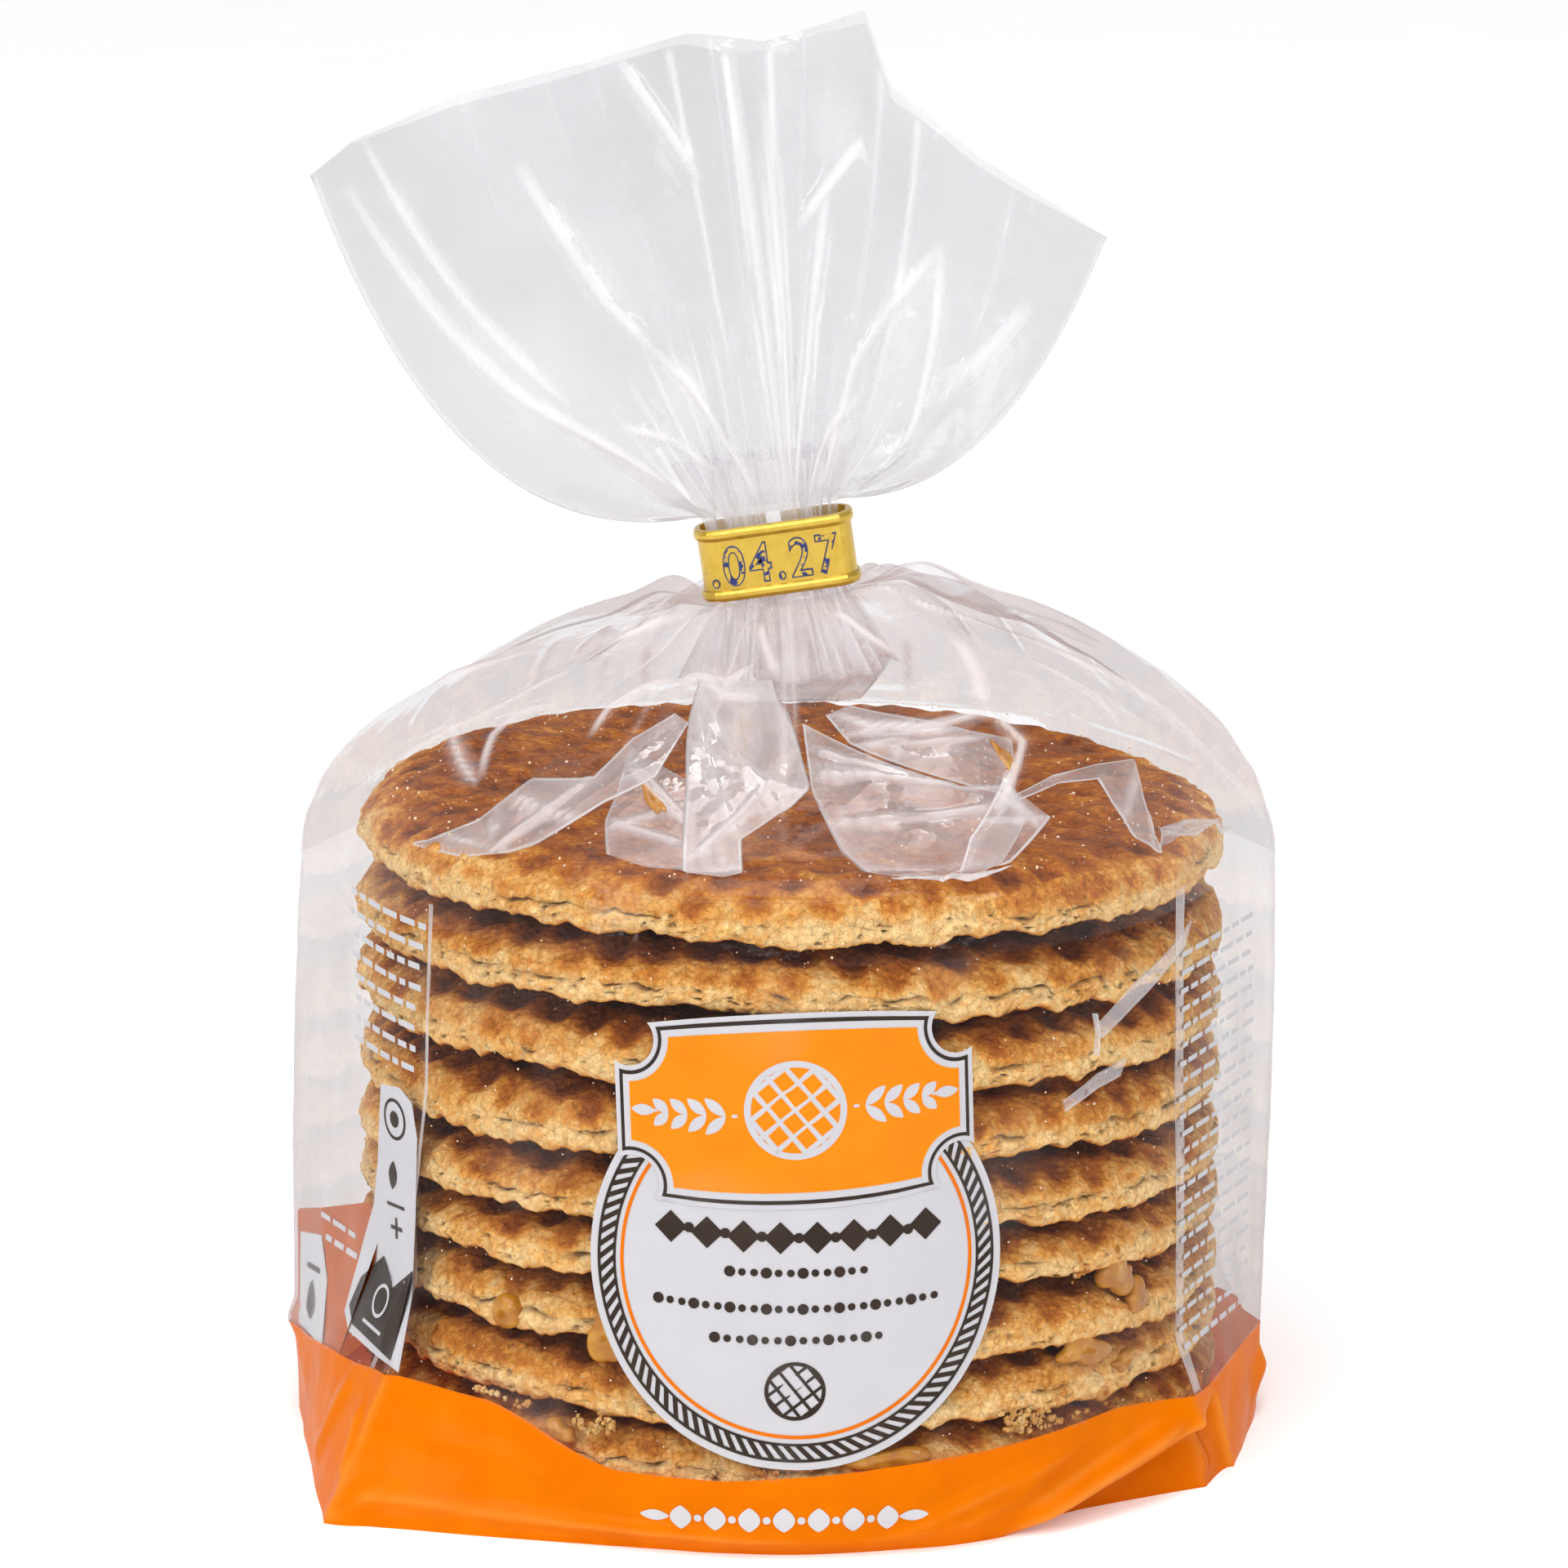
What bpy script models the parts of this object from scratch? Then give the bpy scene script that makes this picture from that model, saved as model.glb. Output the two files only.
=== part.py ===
"""A sealed side-gusset bag of ten caramel wafers, gathered and clipped at the neck.

Two nodes: bag (one closed solid out to the film) and clip (the band round the neck).
Metres, +Z up, front towards -Y, origin at the middle of the foot.
"""

import math

import bmesh
import bpy

MM = 0.001

# Contents, which set the size of the body
WAFER_RADIUS = 47.5 * MM
FILM_SLACK = 0.8 * MM
BODY_RADIUS = WAFER_RADIUS + FILM_SLACK
STACK_HEIGHT = 70.0 * MM

# Side folds (gusset corners) at the left and right of the body
LEFT_REACH = (54.2 * MM, 54.4 * MM, 52.9 * MM)
RIGHT_REACH = (52.4 * MM, 53.8 * MM, 53.9 * MM)
BODY_TOP = 64.0 * MM

# Corners of the block bottom: angle from the front, reach at the floor, height of the fold
FOOT_CORNERS = (
    (-52.5, 61.2 * MM, 24.0 * MM),
    (60.0, 54.6 * MM, 16.0 * MM),
    (-127.5, 57.0 * MM, 20.0 * MM),
    (127.5, 58.5 * MM, 22.0 * MM),
)
FOOT_ROUND = 1.9 * MM
FOOT_ROUND_HEIGHT = 5.0 * MM
TUCK_DEPTH = 2.0 * MM
TUCK_ANGLES = (27.0, 68.0)
TUCK_TOP = 9.0 * MM
TUCK_SOFT = 3.0 * MM

# Band clip, leaning so that its right side is higher
CLIP_CENTRE = (-0.7 * MM, 0.0, 97.4 * MM)
CLIP_LEAN = math.radians(8.0)
CLIP_WIDTH = 16.8 * MM
CLIP_DEPTH = 6.6 * MM
CLIP_HEIGHT = 7.9 * MM
CLIP_WALL = 0.45 * MM
CLIP_BEAD = 0.62 * MM
CLIP_BEAD_PROUD = 0.34 * MM
CLIP_BEAD_STEPS = 5
CLIP_GAP = 0.3 * MM
CLIP_MOUTH = 1.6 * MM
CLIP_CORNER = 2.4 * MM
CLIP_CORNER_STEPS = 6

# Neck: the gathered film inside the clip
NECK_HALF_WIDTH = CLIP_WIDTH / 2 - CLIP_WALL - CLIP_GAP - 0.25 * MM
NECK_HALF_DEPTH = CLIP_DEPTH / 2 - CLIP_WALL - CLIP_GAP - 0.2 * MM
NECK_CLEAR = 1.1 * MM
NECK_PLEAT = 0.28 * MM
PLEATS_ROUND_NECK = 11

# Shoulders: a soft dome from the top wafer's rim to the neck
SHOULDER_POWER_SIDE = 1.95
SHOULDER_POWER_FRONT = 1.35
SHOULDER_BUMP = 2.2 * MM
SHOULDER_PLEAT = 2.4 * MM

# Fan of free film above the clip: where its mouth runs, left tip to right tip
MOUTH = (
    (-50.6 * MM, 138.4 * MM),
    (-46.2 * MM, 142.0 * MM),
    (-34.8 * MM, 146.6 * MM),
    (-10.4 * MM, 152.9 * MM),
    (-2.2 * MM, 152.2 * MM),
    (8.6 * MM, 155.6 * MM),
    (11.4 * MM, 147.4 * MM),
    (20.9 * MM, 139.9 * MM),
    (34.6 * MM, 131.8 * MM),
)
LEFT_LOBE = (-36.0 * MM, 95.8 * MM)
RIGHT_LOBE = (23.2 * MM, 102.6 * MM)
FAN_TIP_HALF = 0.9 * MM
FAN_MID_HALF = 8.5 * MM
FAN_FOLDS = (
    (2.3 * MM, 2.6, 0.4),
    (1.1 * MM, 6.3, 1.9),
)
FAN_BACK_SHIFT = 1.3

# Mesh fineness
AROUND = 96
BODY_LEVELS = (0.0, 0.022, 0.05, 0.09, 0.14, 0.2, 0.28, 0.37, 0.55, 0.75, 0.9, 1.0)
SHOULDER_ROWS = 11
NECK_ROWS = 2
FAN_ROWS = 11


def blend(low, high, amount):
    """Straight mix of two values."""
    return low + (high - low) * amount


def ease(start, end, value):
    """Smooth step from 0 at start to 1 at end."""
    amount = min(1.0, max(0.0, (value - start) / (end - start)))
    return amount * amount * (3.0 - 2.0 * amount)


def three_way(values, amount):
    """Curve through three values at 0, one half and 1."""
    low, middle, high = values
    near = 2.0 * (amount - 0.5) * (amount - 1.0) * low
    far = 2.0 * amount * (amount - 0.5) * high
    return near + 4.0 * amount * (1.0 - amount) * middle + far


def angle_between(first, second):
    """Unsigned difference of two headings in radians."""
    turn = abs(first - second) % (2.0 * math.pi)
    return min(turn, 2.0 * math.pi - turn)


def corner_radius(heading, corner_heading, reach):
    """Taut film from the round stack out to a corner and back."""
    if reach <= BODY_RADIUS:
        return BODY_RADIUS
    opening = math.acos(BODY_RADIUS / reach)
    off = angle_between(heading, corner_heading)
    if off >= opening:
        return BODY_RADIUS
    return BODY_RADIUS / math.cos(opening - off)


def chord_radius(heading, first, second):
    """Taut film straight across between two corners, each a heading and a reach."""
    (start, start_reach), (end, end_reach) = first, second
    span = (end - start) % (2.0 * math.pi)
    along = (heading - start) % (2.0 * math.pi)
    if along > span or span >= math.pi:
        return 0.0
    across = start_reach * math.sin(along) + end_reach * math.sin(span - along)
    return start_reach * end_reach * math.sin(span) / across


def heading_of(step):
    """Heading of a point round the bag: left fold, front, right fold, back."""
    return -math.pi + 2.0 * math.pi * step / AROUND


def tuck(heading, height):
    """How far the film is folded in under the front right corner."""
    from_front = math.degrees(heading + math.pi / 2.0)
    first, last = TUCK_ANGLES
    along = (from_front - first) / (last - first)
    if along <= 0.0 or along >= 1.0:
        return 0.0
    edge = TUCK_TOP * along
    under = ease(0.0, TUCK_SOFT, edge - height)
    return TUCK_DEPTH * under * math.sin(math.pi * along) ** 0.5


def corners_at(height):
    """The six corners of the section at a height, as heading and reach, in turning order."""
    rise = min(1.0, height / BODY_TOP)
    corners = [(-math.pi, three_way(LEFT_REACH, rise)), (0.0, three_way(RIGHT_REACH, rise))]
    for from_front, floor_reach, fold_height in FOOT_CORNERS:
        fading = max(0.0, 1.0 - height / fold_height)
        reach = blend(BODY_RADIUS, floor_reach, fading)
        corners.append((math.radians(from_front - 90.0) % (2.0 * math.pi), reach))
    return sorted(corners, key=lambda corner: corner[0] % (2.0 * math.pi))


def body_radius(heading, height):
    """Radius of the body at a heading and a height above the floor."""
    corners = corners_at(height)
    radius = max(corner_radius(heading, *corner) for corner in corners)
    for corner, after in zip(corners, corners[1:] + corners[:1]):
        radius = max(radius, chord_radius(heading, corner, after))
    rounding = max(0.0, 1.0 - height / FOOT_ROUND_HEIGHT) ** 2
    rounding *= math.sin(heading) ** 4
    return radius - FOOT_ROUND * rounding - tuck(heading, height)


def lean_height(across, along):
    """Height of the leaning clip's cross-section at a distance across it."""
    centre_x, _, centre_z = CLIP_CENTRE
    return centre_z + along / math.cos(CLIP_LEAN) + (across - centre_x) * math.tan(CLIP_LEAN)


def neck_point(step, along):
    """Point of the gathered film at a signed distance along the clip's axis."""
    heading = heading_of(step)
    pleat = 1.0 + NECK_PLEAT / NECK_HALF_DEPTH * math.sin(PLEATS_ROUND_NECK * heading)
    across = abs(math.cos(heading)) ** 0.7 * math.copysign(1.0, math.cos(heading))
    deep = abs(math.sin(heading)) ** 0.8 * math.copysign(1.0, math.sin(heading))
    centre_x = CLIP_CENTRE[0]
    x = centre_x - along * math.sin(CLIP_LEAN) + NECK_HALF_WIDTH * across
    y = NECK_HALF_DEPTH * deep * min(pleat, 1.0)
    return x, y, lean_height(x, along)


def shoulder_point(step, amount):
    """Point of the dome, from the body's top at 0 to the neck at 1."""
    heading = heading_of(step)
    radius = body_radius(heading, BODY_TOP)
    neck_x, neck_y, neck_z = neck_point(step, -CLIP_HEIGHT / 2 - NECK_CLEAR)
    sideways = abs(math.cos(heading))
    power = blend(SHOULDER_POWER_FRONT, SHOULDER_POWER_SIDE, sideways)
    turn = amount * math.pi / 2.0
    outward = math.cos(turn) ** (2.0 / power)
    upward = math.sin(turn) ** (2.0 / power)
    bump = SHOULDER_BUMP * sideways * math.exp(-(((outward - 0.16) / 0.1) ** 2))
    folding = SHOULDER_PLEAT * ease(0.0, 0.75, amount) * (1.0 - ease(0.7, 0.95, amount))
    pleat = folding * (abs(math.sin(PLEATS_ROUND_NECK * heading / 2.0)) - 0.6)
    x = blend(neck_x, radius * math.cos(heading), outward)
    y = blend(neck_y, radius * math.sin(heading), outward)
    z = blend(BODY_TOP, neck_z, upward) + bump + pleat
    return x, y, z


def mouth_point(across):
    """Point of the fan's mouth, from the left tip at -1 to the right tip at 1."""
    left, right = MOUTH[0][0], MOUTH[-1][0]
    x = blend(left, right, (across + 1.0) / 2.0)
    for (x_low, z_low), (x_high, z_high) in zip(MOUTH, MOUTH[1:]):
        if x <= x_high:
            return x, blend(z_low, z_high, (x - x_low) / (x_high - x_low))
    return MOUTH[-1]


def fan_point(step, amount):
    """Point of the fan, from the neck at 0 to the mouth at 1."""
    heading = heading_of(step)
    front = heading < 0.0
    across = 1.0 - 2.0 * abs(heading) / math.pi
    neck_x, neck_y, neck_z = neck_point(step, CLIP_HEIGHT / 2 + NECK_CLEAR)
    end_x, end_z = mouth_point(across)
    lobe_x, lobe_z = LEFT_LOBE if across < 0.0 else RIGHT_LOBE
    spread = abs(across) ** 2.5
    mid_x = blend(blend(neck_x, end_x, 0.5), lobe_x, spread)
    mid_z = blend(blend(neck_z, end_z, 0.5), lobe_z, spread)
    start, middle, end = (1.0 - amount) ** 2, 2.0 * amount * (1.0 - amount), amount ** 2
    x = start * neck_x + middle * mid_x + end * end_x
    z = start * neck_z + middle * mid_z + end * end_z
    rounded = max(0.0, 1.0 - across * across) ** 0.6
    half = blend(FAN_TIP_HALF, FAN_MID_HALF, rounded)
    shift = 0.0 if front else FAN_BACK_SHIFT
    wave = amount * rounded * sum(
        depth * math.sin(math.pi * count * across + phase + shift)
        for depth, count, phase in FAN_FOLDS
    )
    y = neck_y * (1.0 - amount) ** 2 + (half * amount * (-1.0 if front else 1.0) + wave)
    at_fold = min(step % AROUND, abs(step % AROUND - AROUND // 2)) == 0
    return x, (0.0 if at_fold else y), z


def bag_rings():
    """All rings of the bag, floor to mouth."""
    rings = []
    for level in BODY_LEVELS:
        height = level * BODY_TOP
        ring = []
        for step in range(AROUND):
            heading = heading_of(step)
            radius = body_radius(heading, height)
            ring.append((radius * math.cos(heading), radius * math.sin(heading), height))
        rings.append(ring)
    for row in range(1, SHOULDER_ROWS + 1):
        rings.append([shoulder_point(step, row / SHOULDER_ROWS) for step in range(AROUND)])
    reach = CLIP_HEIGHT / 2 + NECK_CLEAR
    for row in range(1, NECK_ROWS + 1):
        along = blend(-reach, reach, row / NECK_ROWS)
        rings.append([neck_point(step, along) for step in range(AROUND)])
    for row in range(1, FAN_ROWS + 1):
        amount = (row / FAN_ROWS) ** 0.9
        rings.append([fan_point(step, amount) for step in range(AROUND)])
    return rings


def make_material(name, colour, roughness, metallic=0.0):
    """Principled material with a plain finish."""
    material = bpy.data.materials.new(name)
    material.use_nodes = True
    shader = material.node_tree.nodes["Principled BSDF"]
    shader.inputs["Base Color"].default_value = (*colour, 1.0)
    shader.inputs["Roughness"].default_value = roughness
    shader.inputs["Metallic"].default_value = metallic
    return material


def add_object(name, mesh, material, smooth_angle):
    """Named object in the scene with its material and smooth shading."""
    mesh.materials.append(material)
    mesh.shade_smooth()
    mesh.set_sharp_from_angle(angle=math.radians(smooth_angle))
    item = bpy.data.objects.new(name, mesh)
    bpy.context.scene.collection.objects.link(item)
    return item


def skin(build, rings, closed_path):
    """Quads between neighbouring rings; a closed path joins the last to the first."""
    count = len(rings[0])
    pairs = list(zip(rings, rings[1:]))
    if closed_path:
        pairs.append((rings[-1], rings[0]))
    for low, high in pairs:
        for step in range(count):
            after = (step + 1) % count
            build.faces.new((low[step], low[after], high[after], high[step]))


def build_bag():
    """The bag out to its film: foot, body, shoulders, neck and fan in one closed skin."""
    build = bmesh.new()
    rings = [[build.verts.new(point) for point in ring] for ring in bag_rings()]
    skin(build, rings, closed_path=False)
    middle = build.verts.new((0.0, 0.0, 0.0))
    for step in range(AROUND):
        build.faces.new((middle, rings[0][(step + 1) % AROUND], rings[0][step]))
    top = rings[-1]
    half = AROUND // 2
    build.faces.new((top[0], top[1], top[AROUND - 1]))
    for step in range(1, half - 1):
        build.faces.new((top[step], top[step + 1], top[AROUND - step - 1], top[AROUND - step]))
    build.faces.new((top[half - 1], top[half], top[half + 1]))
    bmesh.ops.triangulate(build, faces=[face for face in build.faces if len(face.verts) == 4])
    mesh = bpy.data.meshes.new("bag")
    build.to_mesh(mesh)
    build.free()
    material = make_material("film_bag", (0.82, 0.62, 0.40), 0.25)
    return add_object("bag", mesh, material, smooth_angle=50.0)


def clip_path():
    """Middle line of the band, seen along its axis, from one end at the back to the other."""
    half_width = (CLIP_WIDTH - CLIP_WALL) / 2
    half_depth = (CLIP_DEPTH - CLIP_WALL) / 2
    corners = ((1, 1, 0.0), (-1, 1, 90.0), (-1, -1, 180.0), (1, -1, 270.0))
    turned = []
    for side_x, side_y, first in corners:
        for step in range(CLIP_CORNER_STEPS + 1):
            angle = math.radians(first + 90.0 * step / CLIP_CORNER_STEPS)
            x = side_x * (half_width - CLIP_CORNER) + CLIP_CORNER * math.cos(angle)
            y = side_y * (half_depth - CLIP_CORNER) + CLIP_CORNER * math.sin(angle)
            turned.append((x, y))
    first_corner = CLIP_CORNER_STEPS + 1
    ends = (CLIP_MOUTH / 2, half_depth)
    ordered = turned[first_corner:] + turned[:first_corner]
    return [(-ends[0], ends[1])] + ordered + [(ends[0], ends[1])]


def clip_section():
    """Band's section as (outward, along): a thin web with a raised bead on each edge."""
    half = CLIP_HEIGHT / 2
    section = [(-CLIP_WALL / 2, -half), (-CLIP_WALL / 2, half)]
    for edge in (1.0, -1.0):
        centre = edge * (half - CLIP_BEAD)
        for step in range(CLIP_BEAD_STEPS + 1):
            angle = math.radians(90.0 - 180.0 * step / CLIP_BEAD_STEPS)
            outward = CLIP_WALL / 2 + CLIP_BEAD_PROUD * max(0.0, math.cos(angle))
            section.append((outward, centre + CLIP_BEAD * math.sin(angle)))
    return section


def build_clip():
    """The band bent round the neck, its two ends nearly meeting at the back."""
    path = clip_path()
    section = clip_section()
    build = bmesh.new()
    rings = []
    for index, (x, y) in enumerate(path):
        before = path[max(0, index - 1)]
        after = path[min(len(path) - 1, index + 1)]
        run_x, run_y = after[0] - before[0], after[1] - before[1]
        length = math.hypot(run_x, run_y)
        out_x, out_y = run_y / length, -run_x / length
        ring = []
        for outward, along in section:
            flat_x = x + out_x * outward
            flat_y = y + out_y * outward
            turned_x = flat_x * math.cos(CLIP_LEAN) - along * math.sin(CLIP_LEAN)
            turned_z = flat_x * math.sin(CLIP_LEAN) + along * math.cos(CLIP_LEAN)
            place = (CLIP_CENTRE[0] + turned_x, CLIP_CENTRE[1] + flat_y, CLIP_CENTRE[2] + turned_z)
            ring.append(build.verts.new(place))
        rings.append(ring)
    skin(build, rings, closed_path=False)
    build.faces.new(list(reversed(rings[0])))
    build.faces.new(rings[-1])
    bmesh.ops.recalc_face_normals(build, faces=build.faces)
    mesh = bpy.data.meshes.new("clip")
    build.to_mesh(mesh)
    build.free()
    material = make_material("clip_gold", (0.72, 0.50, 0.09), 0.32, metallic=0.85)
    return add_object("clip", mesh, material, smooth_angle=40.0)


def main():
    for item in list(bpy.data.objects):
        bpy.data.objects.remove(item, do_unlink=True)
    build_bag()
    build_clip()


main()
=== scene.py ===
# %% [markdown]
# # A clear bag of caramel wafers, gathered and clipped
# The object is a shop pack: ten round caramel wafers stand in a stack inside a side-gusset bag of clear
# film, whose neck is gathered and held by a gold band clip, with a fan of loose film above it.
# The solid model fixes every size. This lesson dresses it: real wafers, real film, a printed foot and a
# round label. It begins by loading the solids, because each later piece takes its place from them.

# %% Load the frame
import math

import bpy
import numpy as np
from mathutils import Matrix, Vector
from mathutils.geometry import delaunay_2d_cdt


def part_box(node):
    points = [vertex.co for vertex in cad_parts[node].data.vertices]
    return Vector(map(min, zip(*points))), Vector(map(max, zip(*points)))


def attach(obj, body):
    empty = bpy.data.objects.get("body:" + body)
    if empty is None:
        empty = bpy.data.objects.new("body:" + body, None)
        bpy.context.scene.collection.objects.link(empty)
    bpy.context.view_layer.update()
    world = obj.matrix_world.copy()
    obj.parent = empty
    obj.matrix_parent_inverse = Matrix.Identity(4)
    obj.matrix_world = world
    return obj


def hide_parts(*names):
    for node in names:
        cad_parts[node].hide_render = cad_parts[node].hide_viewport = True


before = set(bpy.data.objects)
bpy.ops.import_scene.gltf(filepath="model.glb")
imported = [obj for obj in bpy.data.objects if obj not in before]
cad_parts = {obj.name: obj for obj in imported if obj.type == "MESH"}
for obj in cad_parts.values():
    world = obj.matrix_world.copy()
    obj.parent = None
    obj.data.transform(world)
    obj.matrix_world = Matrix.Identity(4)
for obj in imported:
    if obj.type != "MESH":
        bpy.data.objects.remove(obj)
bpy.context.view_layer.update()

MM = 0.001
bag_low, bag_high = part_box("bag")
clip_low, clip_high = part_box("clip")
print("bag", [round(side / MM, 1) for side in bag_high - bag_low], "mm")

# %% [markdown]
# ## Camera and studio
# A pack shot is taken with a long lens from a little above, so that upright lines stay nearly upright.
# The studio is a large pale floor under a soft sky. Clear film shows by what it mirrors, so the sky is
# bright near the ground and dimmer overhead, and three soft boxes give the long white glints.

# %% Camera
CAMERA_DISTANCE = 650.0 * MM
CAMERA_HEIGHT = 227.1 * MM
CAMERA_PITCH = math.radians(13.45)
LENS = 140.4

camera_data = bpy.data.cameras.new("camera")
camera_data.lens = LENS
camera_data.sensor_width = 36.0
camera_data.clip_start = 0.01
camera = bpy.data.objects.new("camera", camera_data)
camera.location = (0.0, -CAMERA_DISTANCE, CAMERA_HEIGHT)
camera.rotation_euler = (math.pi / 2 - CAMERA_PITCH, 0.0, 0.0)
scene = bpy.context.scene
scene.collection.objects.link(camera)
scene.camera = camera
scene.view_settings.view_transform = "Standard"
scene.cycles.transparent_max_bounces = 40
scene.cycles.max_bounces = 12
print("camera at", tuple(round(value, 3) for value in camera.location))


# %% Node helpers
def new_material(name):
    """A node material: gives its nodes, its links and its Principled shader."""
    material = bpy.data.materials.new(name)
    material.use_nodes = True
    tree = material.node_tree
    return material, tree, tree.nodes["Principled BSDF"]


def node(tree, kind, **settings):
    """Add a node; names that match a socket set it, other names set the node itself."""
    made = tree.nodes.new(kind)
    sockets = {socket.name.lower().replace(" ", "_"): socket for socket in made.inputs}
    for key, value in settings.items():
        if key in sockets:
            sockets[key].default_value = value
        else:
            setattr(made, key, value)
    return made


def ramp(tree, source, stops):
    """Colour ramp through (place, colour) stops."""
    made = tree.nodes.new("ShaderNodeValToRGB")
    elements = made.color_ramp.elements
    while len(elements) < len(stops):
        elements.new(0.5)
    for element, (place, colour) in zip(elements, stops):
        element.position = place
        element.color = (*colour, 1.0)
    tree.links.new(source, made.inputs["Fac"])
    return made.outputs["Color"]


def mix_colour(tree, amount, first, second, blend="MIX"):
    """Mix of two colours; each input is a socket or a plain value."""
    made = tree.nodes.new("ShaderNodeMix")
    made.data_type = "RGBA"
    made.blend_type = blend
    for index, source in ((0, amount), (6, first), (7, second)):
        if hasattr(source, "links"):
            tree.links.new(source, made.inputs[index])
        elif index == 0:
            made.inputs[index].default_value = source
        else:
            made.inputs[index].default_value = (*source, 1.0)
    return made.outputs[2]


def maths(tree, operation, first, second=0.0):
    """Arithmetic on two sockets or numbers."""
    made = tree.nodes.new("ShaderNodeMath")
    made.operation = operation
    for index, source in enumerate((first, second)):
        if hasattr(source, "links"):
            tree.links.new(source, made.inputs[index])
        else:
            made.inputs[index].default_value = source
    return made.outputs[0]


def noise_of(tree, vector, grain, detail=3.0, roughness=0.55):
    """Noise whose grains are about the given size in metres."""
    made = node(tree, "ShaderNodeTexNoise", scale=1.0 / grain, detail=detail, roughness=roughness)
    tree.links.new(vector, made.inputs["Vector"])
    return made.outputs["Fac"]


def place_of(tree):
    """Object coordinates, in metres."""
    return tree.nodes.new("ShaderNodeTexCoord").outputs["Object"]


def bump(tree, height, distance, strength=1.0, under=None):
    """Bump node over a height field; under is a bump to lay it on."""
    made = node(tree, "ShaderNodeBump", strength=strength, distance=distance)
    tree.links.new(height, made.inputs["Height"])
    if under is not None:
        tree.links.new(under, made.inputs["Normal"])
    return made.outputs["Normal"]


# %% Floor, sky and soft boxes
FLOOR_RADIUS = 5.0
FLOOR_GLOW = 0.14


def build_floor():
    """A wide round floor of matt white board."""
    bpy.ops.mesh.primitive_circle_add(vertices=96, radius=FLOOR_RADIUS, fill_type="NGON")
    floor = bpy.context.object
    floor.name = "floor"
    floor.location = (0.0, 0.0, 0.0)
    material, tree, shader = new_material("floor_board")
    shader.inputs["Roughness"].default_value = 0.9
    shader.inputs["Specular IOR Level"].default_value = 0.1
    grain = noise_of(tree, place_of(tree), 0.05)
    colour = ramp(tree, grain, [(0.3, (0.90, 0.90, 0.90)), (0.7, (0.92, 0.92, 0.92))])
    tree.links.new(colour, shader.inputs["Base Color"])
    shader.inputs["Emission Color"].default_value = (1.0, 1.0, 1.0, 1.0)
    shader.inputs["Emission Strength"].default_value = FLOOR_GLOW
    floor.data.materials.append(material)
    return floor


def build_sky():
    """Soft light from all round: bright near the ground, dimmer overhead."""
    world = bpy.data.worlds.new("sky")
    scene.world = world
    world.use_nodes = True
    tree = world.node_tree
    background = tree.nodes["Background"]
    split = tree.nodes.new("ShaderNodeSeparateXYZ")
    direction = tree.nodes.new("ShaderNodeTexCoord").outputs["Generated"]
    tree.links.new(direction, split.inputs[0])
    stops = [(0.0, (1.0, 1.0, 1.0)), (0.10, (1.0, 1.0, 1.0)), (0.30, (0.42, 0.42, 0.44)),
             (0.8, (0.32, 0.32, 0.34))]
    colour = ramp(tree, split.outputs["Z"], stops)
    tree.links.new(colour, background.inputs["Color"])
    background.inputs["Strength"].default_value = SKY_STRENGTH


def aim_lamp(lamp, place):
    """Put a lamp at a place, turned to the middle of the pack."""
    lamp.location = place
    aim = Vector((0.0, 0.0, 0.07)) - Vector(place)
    lamp.rotation_euler = aim.to_track_quat("-Z", "Y").to_euler()
    scene.collection.objects.link(lamp)


def soft_box(name, place, width, height, power):
    """Rectangular light aimed at the middle of the pack."""
    data = bpy.data.lights.new(name, "AREA")
    data.shape = "RECTANGLE"
    data.size = width
    data.size_y = height
    data.energy = power
    aim_lamp(bpy.data.objects.new(name, data), place)


def even_light(name, place, strength, softness):
    """Wide, even light that falls the same on the near and the far floor."""
    data = bpy.data.lights.new(name, "SUN")
    data.energy = strength
    data.angle = math.radians(softness)
    aim_lamp(bpy.data.objects.new(name, data), place)


SKY_STRENGTH = 0.95
build_floor()
build_sky()
even_light("even_key", (-0.6, -1.1, 2.0), 1.85, 70.0)
soft_box("box_left", (-0.85, -1.0, 0.62), 0.30, 0.8, 4.5)
soft_box("box_right", (0.95, -0.85, 0.66), 0.30, 0.8, 4.0)
soft_box("box_top", (0.1, -0.1, 1.35), 0.7, 0.5, 4.0)
soft_box("box_front", (0.15, -1.3, 1.05), 0.8, 0.3, 2.5)


# %% [markdown]
# ## Tools for shapes
# Every soft or baked surface here is a grid of points: rows up or across, columns round. A grid becomes a
# mesh in one call, which keeps a hundred thousand points quick. Unevenness comes from value noise, worked
# out from whole-number hashes, so that each run gives the same crumbs.

# %% Grids and noise
def grid_faces(rows, columns, closed=True):
    """Quads between neighbouring rows and columns of a grid."""
    index = np.arange(rows * columns).reshape(rows, columns)
    if closed:
        after = np.roll(index, -1, axis=1)
        low, next_low = index[:-1], after[:-1]
        high, next_high = index[1:], after[1:]
    else:
        low, next_low = index[:-1, :-1], index[:-1, 1:]
        high, next_high = index[1:, :-1], index[1:, 1:]
    return np.stack([low, next_low, next_high, high], axis=-1).reshape(-1, 4)


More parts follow.
